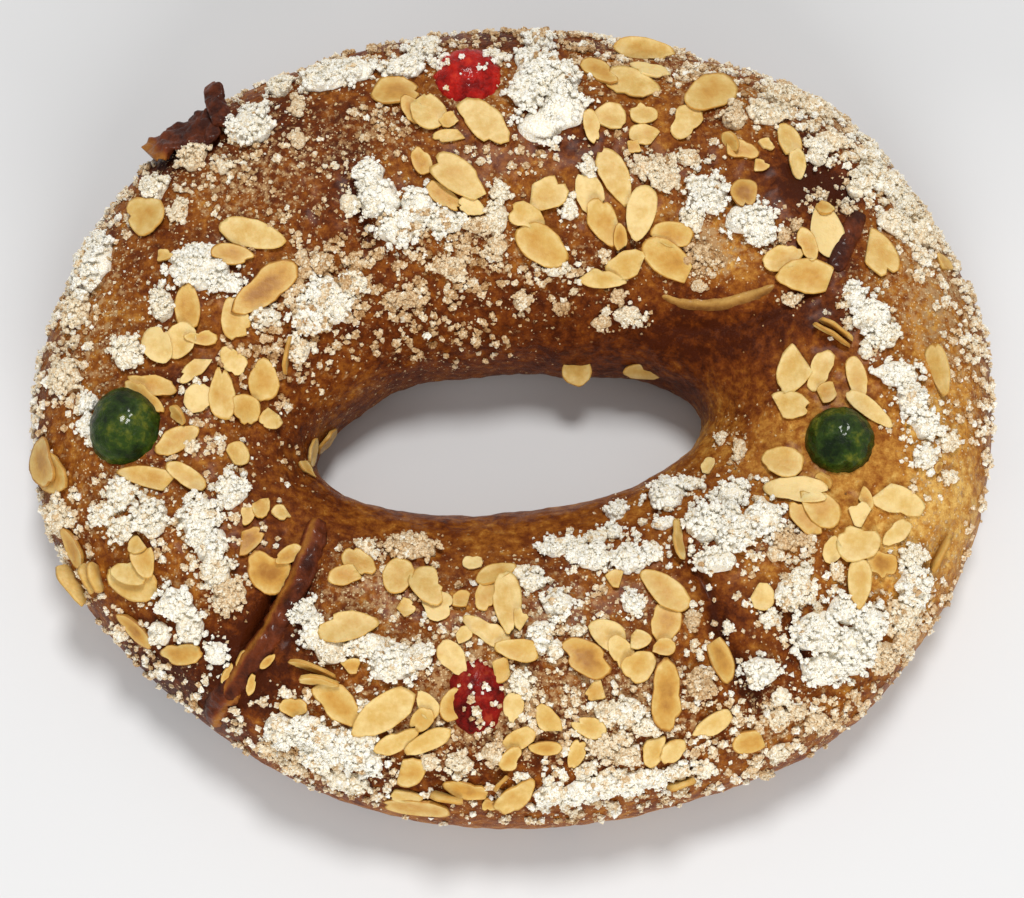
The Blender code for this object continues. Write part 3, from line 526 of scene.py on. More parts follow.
def fold_depth(plan):
    """How deep the folds press the crust in at a place in plan, in millimetres."""
    depth_here = 0.0
    for path, half_width, depth in FOLDS:
        if max(abs(plan.x - path[0][0]), abs(plan.y - path[0][1])) > FOLD_REACH:
            continue
        away, along = nearest_on_path(plan, path)
        near = away / half_width
        if near < 5:
            taper = min(1.0, 5 * along + 0.1, 5 * (1 - along) + 0.1)
            depth_here += PRESS_DEPTH * taper * depth * math.exp(-((near / PRESS_SPREAD) ** 2))
            depth_here += taper * depth * math.exp(-(near ** 2))
    return depth_here


def new_material(name):
    made = bpy.data.materials.new(name)
    made.use_nodes = True
    return made, made.node_tree


def set_inputs(tree, node, inputs):
    """Gives each input of a node its value, or the socket that it is linked to."""
    for name, value in inputs.items():
        if isinstance(value, bpy.types.NodeSocket):
            tree.links.new(value, node.inputs[name])
        else:
            node.inputs[name].default_value = value


def add_node(tree, kind, settings, inputs):
    made = tree.nodes.new(kind)
    for name, value in settings.items():
        setattr(made, name, value)
    set_inputs(tree, made, inputs)
    return made


def attribute(tree, name):
    return add_node(tree, "ShaderNodeAttribute", {"attribute_name": name}, {}).outputs["Fac"]


def object_place(tree):
    return add_node(tree, "ShaderNodeTexCoord", {}, {}).outputs["Object"]


def grain_noise(tree, scale, detail=3.0, roughness=0.55):
    """Noise on the object's own coordinates; scale is in features a metre."""
    inputs = {"Vector": object_place(tree), "Scale": scale, "Detail": detail, "Roughness": roughness}
    return add_node(tree, "ShaderNodeTexNoise", {}, inputs).outputs["Fac"]


def arithmetic(tree, operation, *values, clamp=False):
    """One step of reckoning, on values or sockets."""
    settings = {"operation": operation, "use_clamp": clamp}
    return add_node(tree, "ShaderNodeMath", settings, dict(enumerate(values))).outputs["Value"]


def colour_ramp(tree, factor, stops):
    """A ramp through colours, each at its place from 0 to 1."""
    made = add_node(tree, "ShaderNodeValToRGB", {}, {"Fac": factor})
    elements = made.color_ramp.elements
    while len(elements) < len(stops):
        elements.new(0.5)
    for element, (position, colour) in zip(elements, stops):
        element.position = position
        element.color = (*colour, 1)
    return made.outputs["Color"]


def lay_colour(tree, factor, below, above):
    """Lays a plain colour over what is below it. The sockets for colours are numbers 6, 7 and 2."""
    inputs = {0: factor, 6: below, 7: (*above, 1)}
    return add_node(tree, "ShaderNodeMix", {"data_type": "RGBA"}, inputs).outputs[2]


def granules(tree, scale):
    """Cells like packed grains: how far a place is from its grain's middle, and the grain's lot."""
    cells = add_node(tree, "ShaderNodeTexVoronoi", {}, {"Vector": object_place(tree), "Scale": scale})
    lots = add_node(tree, "ShaderNodeSeparateColor", {}, {"Color": cells.outputs["Color"]})
    return cells.outputs["Distance"], lots.outputs["Red"]


def flecks(tree, scale, share):
    """Single grains stuck on a surface; share is how many of the cells hold one."""
    away, lot = granules(tree, scale)
    present = arithmetic(tree, "LESS_THAN", lot, share)
    ragged = arithmetic(tree, "MULTIPLY_ADD", grain_noise(tree, 2.2 * scale), 6.0, -1.2)
    near = arithmetic(tree, "MULTIPLY_ADD", away, -4.0, ragged, clamp=True)
    return arithmetic(tree, "MULTIPLY", present, near)


def finish_material(made, values, relief):
    """Sets the shader's inputs and adds its relief: height, strength and distance in metres."""
    tree = made.node_tree
    shader = tree.nodes["Principled BSDF"]
    set_inputs(tree, shader, values)
    below = {}
    for height, strength, distance in relief:
        inputs = {"Height": height, "Strength": strength, "Distance": distance, **below}
        below = {"Normal": add_node(tree, "ShaderNodeBump", {}, inputs).outputs["Normal"]}
    set_inputs(tree, shader, below)
    return made


def glazed_crust():
    """Egg-washed dough: gold to dark brown by how it baked, with painted shade in its creases and painted
    light on one slope in shade; blistered, with dried sugar on it.
    """
    made, tree = new_material("glazed_crust")
    dust = attribute(tree, "dust")
    blotches = grain_noise(tree, 60, 4.0, 0.6)
    blisters = grain_noise(tree, 330, 5.0, 0.7)
    # Holds how the crust baked, with painted shade in its creases and painted light on one shaded slope.
    tone = arithmetic(tree, "MULTIPLY_ADD", blotches, 0.7, attribute(tree, "bake_and_shade"))
    tone = arithmetic(tree, "MULTIPLY_ADD", blisters, 1.4, tone)
    tone = arithmetic(tree, "SUBTRACT", tone, 0.96, clamp=True)
    baked = colour_ramp(tree, tone, (
        (0.0, (0.72, 0.44, 0.12)), (0.25, (0.50, 0.225, 0.038)), (0.5, (0.28, 0.086, 0.010)),
        (0.75, (0.14, 0.030, 0.004)), (1.0, (0.055, 0.010, 0.002))))
    scales = grain_noise(tree, 420, 5.0, 0.7)
    residue = arithmetic(tree, "MULTIPLY_ADD", dust, 0.22, scales)
    residue = arithmetic(tree, "SUBTRACT", residue, 0.6)
    residue = arithmetic(tree, "MULTIPLY", residue, 8.0, clamp=True)
    share = arithmetic(tree, "MULTIPLY_ADD", dust, 0.3, arithmetic(tree, "MULTIPLY", blotches, 0.08))
    coarse = flecks(tree, 760, share)
    fine = flecks(tree, 1500, share)
    colour = lay_colour(tree, residue, baked, (0.43, 0.25, 0.11))
    colour = lay_colour(tree, coarse, colour, (0.70, 0.50, 0.27))
    colour = lay_colour(tree, fine, colour, (0.78, 0.58, 0.33))
    dull = arithmetic(tree, "MULTIPLY_ADD", residue, 0.25, 0.4)
    dull = arithmetic(tree, "MULTIPLY_ADD", attribute(tree, "wet"), -0.14, dull)
    values = {"Base Color": colour, "Roughness": dull, "Specular IOR Level": 0.08,
              "Coat Weight": 0.04, "Coat Roughness": 0.2}
    return finish_material(made, values, (
        (blisters, 0.7, 0.0014), (scales, 0.6, 0.0011), (coarse, 0.7, 0.0005), (fine, 0.5, 0.0003)))


def toasted_almond():
    """Sliced almond: a thin brown edge, and a middle that browns more on some slices."""
    made, tree = new_material("toasted_almond")
    toast = attribute(tree, "toast")
    mottle = grain_noise(tree, 240, 5.0, 0.65)
    tone = arithmetic(tree, "MULTIPLY_ADD", mottle, 1.1, -0.55)
    tone = arithmetic(tree, "MULTIPLY_ADD", attribute(tree, "middle"), toast, tone)
    tone = arithmetic(tree, "MULTIPLY_ADD", toast, 0.3, tone)
    colour = colour_ramp(tree, tone, (
        (0.0, (0.75, 0.56, 0.24)), (0.3, (0.62, 0.40, 0.115)), (0.6, (0.54, 0.285, 0.055)),
        (1.0, (0.35, 0.15, 0.025))))
    values = {"Base Color": colour, "Roughness": 0.48, "Specular IOR Level": 0.35,
              "Subsurface Weight": 0.2, "Subsurface Radius": (1.0, 0.6, 0.3), "Subsurface Scale": MM}
    return finish_material(made, values, ((mottle, 0.5, 0.0008), (grain_noise(tree, 1300), 0.3, 0.0002)))


def damp_sugar():
    """White grains that brown to tan by how toasted each is, with painted shade where they touch."""
    made, tree = new_material("damp_sugar")
    away, lot = granules(tree, 1500)
    # Painted shade: each grain darkens towards its rim, where it meets the next.
    tone = arithmetic(tree, "MULTIPLY_ADD", away, 0.38, attribute(tree, "toast"))
    tone = arithmetic(tree, "MULTIPLY_ADD", lot, 0.08, tone)
    tone = arithmetic(tree, "SUBTRACT", tone, 0.22, clamp=True)
    colour = colour_ramp(tree, tone, (
        (0.0, (0.93, 0.915, 0.845)), (0.2, (0.86, 0.77, 0.58)), (0.45, (0.68, 0.48, 0.26)),
        (0.7, (0.45, 0.25, 0.095)), (1.0, (0.20, 0.085, 0.02))))
    height = arithmetic(tree, "MULTIPLY", away, -1.0)
    return finish_material(made, {"Base Color": colour, "Roughness": 0.4}, (
        (height, 0.55, 0.0005), (grain_noise(tree, 2600, 2.0), 0.45, 0.0003)))


def candied_fruit(name, deep, light, warm, glaze):
    """Syrupy flesh of a cherry, mottled between two colours, under a clear glaze."""
    made, tree = new_material(name)
    mottle = grain_noise(tree, 170, 4.0, 0.65)
    veins = grain_noise(tree, 480, 4.0, 0.65)
    colour = colour_ramp(tree, mottle, ((0.38, deep), (0.56, light), (0.74, warm)))
    values = {"Base Color": colour, "Roughness": 0.35, "Specular IOR Level": 0.1,
              "Coat Weight": glaze, "Coat Roughness": 0.1,
              "Subsurface Weight": 0.1, "Subsurface Radius": (1.0, 0.5, 0.3), "Subsurface Scale": MM}
    return finish_material(made, values, ((mottle, 0.7, 0.0018), (veins, 0.8, 0.0010)))


def candied_peel(name, dark, middle, amber):
    """Peel boiled in syrup: dark, with an amber line of painted light, as if light came through it."""
    made, tree = new_material(name)
    streaks = grain_noise(tree, 260, 5.0, 0.65)
    # The attribute read here is painted light: an amber line along each strip and at some starts.
    tone = arithmetic(tree, "MULTIPLY_ADD", streaks, 1.1, attribute(tree, "edge"))
    tone = arithmetic(tree, "SUBTRACT", tone, 0.45, clamp=True)
    colour = colour_ramp(tree, tone, ((0.0, dark), (0.4, middle), (1.0, amber)))
    values = {"Base Color": colour, "Roughness": 0.4, "Specular IOR Level": 0.1,
              "Coat Weight": 0.16, "Coat Roughness": 0.16}
    return finish_material(made, values, (
        (streaks, 0.8, 0.0016), (grain_noise(tree, 900, 3.0), 0.5, 0.0006)))


def piece_from(bm, name, material, smooth=True):
    """Turns a bmesh into a piece of the scene, with its material and shading."""
    mesh = bpy.data.meshes.new(name)
    bm.to_mesh(mesh)
    bm.free()
    mesh.materials.append(material)
    mesh.polygons.foreach_set("use_smooth", [smooth] * len(mesh.polygons))
    made = bpy.data.objects.new(name, mesh)
    bpy.context.scene.collection.objects.link(made)
    return made


def dress(piece, node):
    """Puts a piece on the frame's root body and hides the solid of the frame that it stands for."""
    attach(piece, "root")
    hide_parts(node)


def inside_box(place, margin):
    """Whether a place is in the frame's box, and this far from its sides."""
    low, high = cad_box
    return all(low[i] + margin <= place[i] <= high[i] - margin for i in range(3))


def keep_inside(bm):
    """Moves any point that stands out of the frame's box back to it."""
    low, high = cad_box
    for vertex in bm.verts:
        for axis in range(3):
            vertex.co[axis] = clamp(vertex.co[axis], low[axis], high[axis])


def make_crust():
    """A ring spun from one circle, whose points are moved to the loaf's surface and its folds."""
    bm = bmesh.new()
    upright = Matrix.Translation((SPIN_RADIUS, 0, 0)) @ Matrix.Rotation(math.radians(90), 4, "X")
    bmesh.ops.create_circle(bm, segments=SECTION_STEPS, radius=1.0, matrix=upright)
    bmesh.ops.spin(bm, geom=list(bm.verts) + list(bm.edges), cent=(0, 0, 0), axis=(0, 0, 1),
                   angle=math.tau, steps=TURN_STEPS, use_merge=True)
    bmesh.ops.subdivide_edges(bm, edges=bm.edges, cuts=FINER, use_grid_fill=True)
    columns = {}
    for vertex in bm.verts:
        x, y, z = vertex.co
        turn = round(math.atan2(y, x), 5)
        if turn not in columns:
            columns[turn] = loaf_column(turn)
        share = (math.atan2(z, math.hypot(x, y) - SPIN_RADIUS) / math.tau) % 1.0
        if share < TOP_SHARE:
            section = math.pi * share / TOP_SHARE
        else:
            section = math.pi * (1 + (share - TOP_SHARE) / (1 - TOP_SHARE))
        vertex.co = loaf_point(columns[turn], section)
    bake_and_shade = bm.verts.layers.float.new("bake_and_shade")
    dust = bm.verts.layers.float.new("dust")
    wet = bm.verts.layers.float.new("wet")
    bmesh.ops.recalc_face_normals(bm, faces=bm.faces)
    if bm.calc_volume(signed=True) < 0:
        bmesh.ops.reverse_faces(bm, faces=bm.faces)
    bm.normal_update()
    for vertex in bm.verts:
        place = vertex.co / MM
        fold = fold_depth(place.xy) if place.z > FOLDS_FROM else 0.0
        relief = sum(amount * noise.noise(place / size) for amount, size in CRUST_BUMPS)
        dents = noise.noise(place / DENT_SIZE + Vector((7, 0, 0)))
        relief -= CRUST_DENTS * max(0.0, dents - DENT_LIMIT)
        # Painted shade: each fold darkens the crust along its crease by its depth.
        vertex[bake_and_shade] = MEAN_BAKE + spots(place.x, place.y, BAKE_AND_SHADE_SPOTS) + FOLD_SHADE * fold
        if place.z > DUST_FROM:
            vertex[dust] = clamp(spots(place.x, place.y, DUSTY_SPOTS), -0.5)
        if place.z > SYRUP_FROM:
            vertex[wet] = min(spots(place.x, place.y, WET_SPOTS), 1.0)
        if place.z < PALE_BELOW:
            vertex[bake_and_shade] -= FOOT_BAKE * (1 - place.z / PALE_BELOW)
        if place.z > 1:
            vertex.co += vertex.normal * relief * MM
            vertex.co.z -= fold * MM
    bmesh.ops.smooth_vert(bm, verts=[v for v in bm.verts if v.co.z > 0.02], factor=0.25,
                          use_axis_x=True, use_axis_y=True, use_axis_z=True)
    keep_inside(bm)
    return piece_from(bm, "baked_crust", glazed_crust())


def surface_of(*pieces):
    """The surfaces of some pieces, for finding where a topping lies."""
    bm = bmesh.new()
    for piece in pieces:
        bm.from_mesh(piece.data)
    tree = BVHTree.FromBMesh(bm)
    bm.free()
    return tree


def on_crust(x, y):
    """The crust's point under a place in plan, in millimetres, and its smoothed outward direction."""
    point = crust_surface.ray_cast(Vector((x, y, RAY_HEIGHT)) * MM, DOWN)[0]
    if point is None:
        point, normal, _, _ = crust_surface.find_nearest(Vector((x, y, CREST / MM / 2)) * MM)
        return point, normal.normalized()
    normal = Vector()
    for step_x, step_y in ((0, 0), (RAY_SPREAD, 0), (-RAY_SPREAD, 0), (0, RAY_SPREAD), (0, -RAY_SPREAD)):
        above = Vector((x + step_x, y + step_y, RAY_HEIGHT)) * MM
        normal += crust_surface.ray_cast(above, DOWN)[1] or Vector()
    return point, normal.normalized()


def heading_frame(point, normal, turn):
    """A frame at a point whose Z is the normal and whose X follows the turn in plan."""
    heading = Vector((math.cos(turn), math.sin(turn), 0))
    along = (heading - normal * heading.dot(normal)).normalized()
    axes = Matrix((along, normal.cross(along), normal)).transposed().to_4x4()
    return Matrix.Translation(point) @ axes


def height_over(frame, u, v, trees):
    """How high the highest of some surfaces stands over a frame's plane, in metres."""
    start = frame @ Vector((u, v, SLICE_REACH))
    down = -(frame.col[2].xyz)
    heights = [-DEEPEST_GAP]
    for tree in trees:
        hit = tree.ray_cast(start, down, 2 * SLICE_REACH)
        if hit[0] is not None:
            heights.append(SLICE_REACH - hit[3])
    return max(heights)


def settled_frame(x, y, turn, half_length, half_width, trees):
    """A frame for something flat that lies on what is under it: tilted to it and lifted clear."""
    point, normal = on_crust(x, y)
    frame = heading_frame(point, normal, turn)
    rows = []
    for u in (-0.75, 0, 0.75):
        for v in (-0.75, 0, 0.75):
            rows.append((u, v, height_over(frame, u * half_length, v * half_width, trees)))
    mean = sum(height for _, _, height in rows) / len(rows)
    slope_u = sum(u * height for u, _, height in rows) / sum(u * u for u, _, _ in rows)
    slope_v = sum(v * height for _, v, height in rows) / sum(v * v for _, v, _ in rows)
    proud = max(height - mean - slope_u * u - slope_v * v for u, v, height in rows)
    tilt = clamp(math.atan2(slope_u, half_length), -0.5, 0.5)
    roll = clamp(math.atan2(slope_v, half_width), -0.6, 0.6)
    settled = frame @ Matrix.Translation((0, 0, mean + 0.6 * proud))
    return settled @ Matrix.Rotation(-tilt, 4, "Y") @ Matrix.Rotation(roll, 4, "X")


def almond_slice(length, width, toast, warp):
    """One slice in its own frame: rounded at one end, pointed at the other, thin and a little bent."""
    bm = bmesh.new()
    thickness = random.uniform(*SLICE_THICKNESS) * MM
    bmesh.ops.create_cone(bm, cap_ends=True, segments=SLICE_SIDES, radius1=0.94, radius2=1.0,
                          depth=thickness)
    middle = bm.verts.layers.float.new("middle")
    toasted = bm.verts.layers.float.new("toast")
    for inset in SLICE_INSETS:
        top = max(bm.faces, key=lambda face: face.calc_center_median().z + 0.01 * len(face.verts))
        bmesh.ops.inset_region(bm, faces=[top], thickness=inset, use_even_offset=True)
    pointed = random.uniform(0.10, 0.30)
    shift = Vector((random.uniform(-50, 50), random.uniform(-50, 50), 0))
    torn = [(random.uniform(-math.pi, math.pi), random.uniform(0.08, 0.32), random.uniform(0.14, 0.4))
            for _ in range(random.choice((0, 1, 2, 3)))]
    for vertex in bm.verts:
        u, v, w = vertex.co
        radius = math.hypot(u, v)
        vertex[middle] = max(0.0, 1 - radius * 1.05) if w > 0 else 0.4
        if radius > 0.97:
            vertex[middle] = 1.0
        vertex[toasted] = toast
        uneven = 1 + 0.08 * noise.noise(Vector((u, v, 0)) * 1.6 + shift)
        uneven += 0.07 * noise.noise(Vector((u, v, 0)) * 4.5 + shift)
        for where, depth, spread in torn:
            apart = (math.atan2(v, u) - where + math.pi) % math.tau - math.pi
            uneven -= depth * math.exp(-((apart / spread) ** 2))
        u, v = u * uneven, v * uneven * (1 - pointed * u)
        bend = warp * (u * u * length * 0.05 - v * v * width * 0.06)
        ripple = 0.34 * noise.noise(Vector((u * 1.5, v * 1.5, 3)) + shift)
        dish = -0.16 * (1 - min(radius, 1) ** 2) if w > 0 else 0.0
        vertex.co = (u * length / 2 * MM, v * width / 2 * MM, w + (bend + ripple + dish) * MM)
    bmesh.ops.translate(bm, vec=(0, 0, thickness / 2), verts=bm.verts)
    return bm


def break_off(bm, half_length):
    """Snaps an end off a slice, at a slant."""
    slant = random.uniform(-0.9, 0.9)
    end = random.choice((-1, 1))
    heading = Vector((end * math.cos(slant), math.sin(slant), random.uniform(-0.3, 0.3)))
    place = Vector((end * half_length * random.uniform(0.5, 0.82), 0, 0))
    bmesh.ops.bisect_plane(bm, geom=list(bm.verts) + list(bm.edges) + list(bm.faces), plane_co=place,
                           plane_no=heading, clear_outer=True)
    bmesh.ops.holes_fill(bm, edges=[e for e in bm.edges if e.is_boundary])


def make_almonds(ground):
    """All the slices, laid one after another, each on what is already there."""
    whole = bmesh.new()

    def lay(bm, frame):
        bmesh.ops.transform(bm, matrix=frame, verts=bm.verts)
        join(whole, bm)

    for x, y, length, width, turn, toast in ALMONDS:
        trees = [ground, BVHTree.FromBMesh(whole)]
        frame = settled_frame(x, y, math.radians(turn), length / 2 * MM, width / 2 * MM, trees)
        if random.random() < 0.5:
            frame = frame @ Matrix.Rotation(math.pi, 4, "Z")
        browned = clamp(toast + random.uniform(-0.35, 0.3))
        bm = almond_slice(length, width, browned, random.uniform(-1.2, 0.4))
        for _ in range(2 if length < SCRAP_LENGTH else int(random.random() < BROKEN_SHARE)):
            break_off(bm, length / 2 * MM)
        lay(bm, frame)
    for x, y, length, width, turn, lean in EDGE_ALMONDS:
        point, normal = on_crust(x, y)
        frame = heading_frame(point, normal, math.radians(turn))
        rise = 0.35 * width * math.sin(math.radians(lean)) * MM
        frame = frame @ Matrix.Translation((0, 0, rise)) @ Matrix.Rotation(math.radians(lean), 4, "X")
        lay(almond_slice(length, width, random.uniform(0.3, 0.7), 0.4), frame)
    for x, y, z, length, width, turn, slope in WALL_ALMONDS:
        frame = Matrix.Translation(Vector((x, y, z)) * MM) @ Matrix.Rotation(math.radians(slope), 4, "X")
        frame = frame @ Matrix.Rotation(math.radians(turn), 4, "Z")
        lay(almond_slice(length, width, 0.4, 0.3), frame)
    keep_inside(whole)
    return piece_from(whole, "sliced_almonds", toasted_almond())


def clump_frame(x, y, half_x, half_y):
    """Where a clump of sugar stands, and its half widths and height, in metres."""
    point, normal = on_crust(x, y)
    height = CLUMP_BASE + CLUMP_RISE * min(half_x, half_y)
    return heading_frame(point, normal, 0.0), Vector((half_x, half_y, height)) * MM


def make_lumps(material):
    """The cores of the clumps of damp sugar, which their knobs and grains then cover."""
    whole = bmesh.new()
    for x, y, half_x, half_y, toast in CLUMPS:
        bm = bmesh.new()
        bmesh.ops.create_icosphere(bm, subdivisions=3, radius=1.0)
        toasted = bm.verts.layers.float.new("toast")
        frame, halves = clump_frame(x, y, half_x, half_y)
        shift = Vector((x, y, 0))
        for vertex in bm.verts:
            direction = vertex.co.copy()
            rough = 0.77 + 0.22 * noise.noise(direction * 1.5 + shift)
            rough += 0.08 * noise.noise(direction * max(halves.xy) / (1.6 * MM) + shift)
            vertex.co = Vector([direction[axis] * halves[axis] for axis in range(3)]) * rough
            # Painted shade: the cores are a little darker than their knobs, so the gaps between the knobs
            # look shaded.
            vertex[toasted] = min(1.0, toast + 0.08)
        bmesh.ops.transform(bm, matrix=frame, verts=bm.verts)
        join(whole, bm)
    keep_inside(whole)
    return piece_from(whole, "sugar_cores", material)


def clump_knobs():
    """The knobs that a clump is built of: they crowd its middle and leave its edge ragged."""
    built = []
    for x, y, half_x, half_y, toast in CLUMPS:
        frame, halves = clump_frame(x, y, half_x, half_y)
        area = math.pi * half_x * half_y
        for _ in range(int(area * KNOBS_PER_AREA) + 2):
            turn = random.uniform(0, math.tau)
            away = math.sqrt(random.random()) * 1.22
            u, v = oval_place(0, 0, halves.x, halves.y, turn, away)
            ragged = noise.noise(Vector((x + u / MM, y + v / MM, 0)) / CLUMP_WAVES)
            if away > 0.86 + 0.65 * ragged:
                continue
            radius = random.triangular(*KNOB_RADIUS) * MM
            dome = math.sqrt(max(0.0, 1 - (away / 1.15) ** 2))
            bumpy = 0.92 + 0.34 * noise.noise(Vector((x + u / MM, y + v / MM, 5)) / 4.2)
            height = max(0.2 * radius, halves.z * dome * bumpy - 0.5 * radius)
            foot, _ = on_crust(x + u / MM, y + v / MM)
            place = frame @ Vector((u, v, height))
            sunk = (frame @ Vector((u, v, 0)) - foot).dot(frame.col[2].xyz)
            place -= frame.col[2].xyz * max(0.0, sunk) * min(1.0, away ** 2)
            built.append((place, radius, toast + random.uniform(-0.03, 0.06), frame.col[2].xyz))
    return built


def knob_grains(bare_knobs):
    """Grains stuck all over the knobs, on the sides that show."""
    stuck = []
    for place, radius, toast, up in bare_knobs:
        for _ in range(round(GRAINS_PER_KNOB * (radius / MM) ** 2)):
            direction = random_direction()
            if direction.dot(up) < -0.1:
                direction = direction - 2 * direction.dot(up) * up
            size = random.triangular(*KNOB_GRAIN) * MM
            tone = toast + random.uniform(-0.04, 0.08)
            stuck.append((place + direction * (radius * 0.92), size, tone))
    return stuck


def foot_grains():
    """Grains fallen round the foot of every clump, fewer further away."""
    fallen = []
    for x, y, half_x, half_y, toast in CLUMPS:
        for _ in range(int((half_x + half_y) * 1.3)):
            turn = random.uniform(0, math.tau)
            away = 1.0 + abs(random.gauss(0, 0.3))
            size = random.triangular(*FOOT_GRAIN) * MM
            place, normal = on_crust(*oval_place(x, y, half_x, half_y, turn, away))
            fallen.append((place + normal * 0.4 * size, size, toast + random.uniform(0, 0.45)))
    return fallen


def covered(place, lids):
    """Whether a grain would touch something that stays clean, or stand out of the frame's box."""
    if not inside_box(place, GRAIN_MARGIN):
        return True
    rays = (lids.ray_cast(place, DOWN * way, CLEAN_REACH) for way in (1, -1))
    return any(hit[0] is not None for hit in rays)


def loose_crumbs(everything):
    """Crumbs dropped from above: each is a few grains stuck together."""
    dropped = []

    def drop(x, y, size, toast, count):
        place, normal, _, _ = everything.ray_cast(Vector((x, y, RAY_HEIGHT)) * MM, DOWN)
        if place is None or normal.z < 0.1:
            return
        reach = 0.95 * size * (count ** 0.36 - 1)
        for _ in range(count):
            away = random_direction() * (reach * random.random() ** 0.4)
            rise = away.dot(normal)
            grain = place + away + normal * (0.3 * size + abs(rise) * 0.9 - rise)
            if inside_box(grain, CRUMB_MARGIN):
                tone = clamp(toast + random.uniform(-0.16, 0.16))
                dropped.append((grain, size * random.uniform(0.65, 1.2), tone))

    def crumb(x, y, mean, toast):
        if noise.noise(Vector((x, y, 0)) / 5) > -0.14:
            size = mean * random.triangular(0.5, 1.05, 0.75) * MM
            drop(x, y, size, random.gauss(0.72 * toast, 0.12), random.choice(CRUMB_GRAINS))

    for x, y, half_x, half_y, count, mean, toast in CRUMB_FIELDS:
        for _ in range(count):
            turn = random.uniform(0, math.tau)
            away = math.sqrt(random.random()) * random.uniform(0.6, 1.25)
            crumb(*oval_place(x, y, half_x, half_y, turn, away), mean, toast)
    for start, end, outside, inside, count, mean, toast in CRUMB_BANDS:
        for _ in range(count):
            outer, inner, _ = loaf_column(math.radians(random.uniform(start, end)))
            place = outer.lerp(inner, random.triangular(outside, inside, outside)) / MM
            crumb(place.x, place.y, mean, toast)
    for _ in range(FINE_CRUMBS):
        outer, inner, _ = loaf_column(random.uniform(0, math.tau))
        place = outer.lerp(inner, random.uniform(0.0, 0.93)) / MM
        if noise.noise(Vector((place.x, place.y, 9)) / 11) > -0.15:
            size = random.uniform(*FINE_RADIUS) * MM
            drop(place.x, place.y, size, random.uniform(0.4, 0.9), random.choice(FINE_GRAINS))
    return dropped


def join(whole, bm):
    """Adds a small bmesh to the one that is to be the piece."""
    portion = bpy.data.meshes.new("portion")
    bm.to_mesh(portion)
    bm.free()
    whole.from_mesh(portion)
    bpy.data.meshes.remove(portion)


def pour(heap, name, material, shape):
    """Makes grains into one piece: each a small crystal or an uneven lump, turned at random."""
    whole = bmesh.new()
    for start in range(0, len(heap), BATCH):
        bm = bmesh.new()
        toasted = bm.verts.layers.float.new("toast")
        for place, size, toast in heap[start:start + BATCH]:
            squash = Matrix.Diagonal((random.uniform(0.65, 1.35), random.uniform(0.65, 1.3), 0.9, 1))
            matrix = Matrix.Translation(place) @ random_turn() @ squash
            if shape == "lump":
                made = bmesh.ops.create_icosphere(bm, subdivisions=1, radius=size, matrix=matrix)
            else:
                sides = 4 if shape == "crumb" else 3
                made = bmesh.ops.create_uvsphere(bm, u_segments=sides, v_segments=2,
                                                 radius=size * 1.25, matrix=matrix)
            for vertex in made["verts"]:
                vertex[toasted] = toast
        join(whole, bm)
    keep_inside(whole)
    return piece_from(whole, name, material, smooth=shape == "lump")


def make_cherry(name, material, x, y, half_x, half_y, half_z, lift, pleats):
    """A whole candied cherry, its skin shrunk into soft wrinkles."""
    point, normal = on_crust(x, y)
    bm = bmesh.new()
    bmesh.ops.create_icosphere(bm, subdivisions=5, radius=1.0)
    for vertex in bm.verts:
        direction = vertex.co.copy()
        around = math.atan2(direction.y, direction.x)
        stretched = Vector((math.cos(around) * 3.4, math.sin(around) * 3.4, direction.z * 0.8))
        wrinkle = 1 + 0.035 * noise.noise(direction * 1.7 + Vector((x, y, 0)))
        wrinkle -= pleats * abs(noise.noise(stretched + Vector((y, x, 0))))
        wrinkle -= 0.04 * abs(noise.noise(direction * 3.1 + Vector((y, x, 0))))
        wrinkle += 0.015 * noise.noise(direction * 8)
        place = Vector((direction.x * half_x, direction.y * half_y, direction.z * half_z))
        vertex.co = place * MM * wrinkle
    bmesh.ops.translate(bm, vec=point + normal * lift * MM, verts=bm.verts)
    keep_inside(bm)
    return piece_from(bm, "candied_" + name, material)


def path_frames(path):
    """For a path in plan: a function from 0..1 to the crust's point, side direction and normal."""
    points = [Vector(place) for place in path]
    spans = [(second - first).length for first, second in zip(points, points[1:])]
    whole = sum(spans)

    def at(share):
        distance = clamp(share) * whole
        for index, span in enumerate(spans):
            if distance <= span or index == len(spans) - 1:
                break
            distance -= span
        plan = points[index].lerp(points[index + 1], distance / span)
        before = points[max(index - 1, 0)]
        after = points[min(index + 2, len(points) - 1)]
        start_heading = (points[index + 1] - before).normalized()
        end_heading = (after - points[index]).normalized()
        heading = start_heading.lerp(end_heading, distance / span).normalized()
        point, normal = on_crust(plan.x, plan.y)
        along = Vector((heading.x, heading.y, 0))
        along = (along - normal * along.dot(normal)).normalized()
        return point, normal.cross(along), normal

    return at


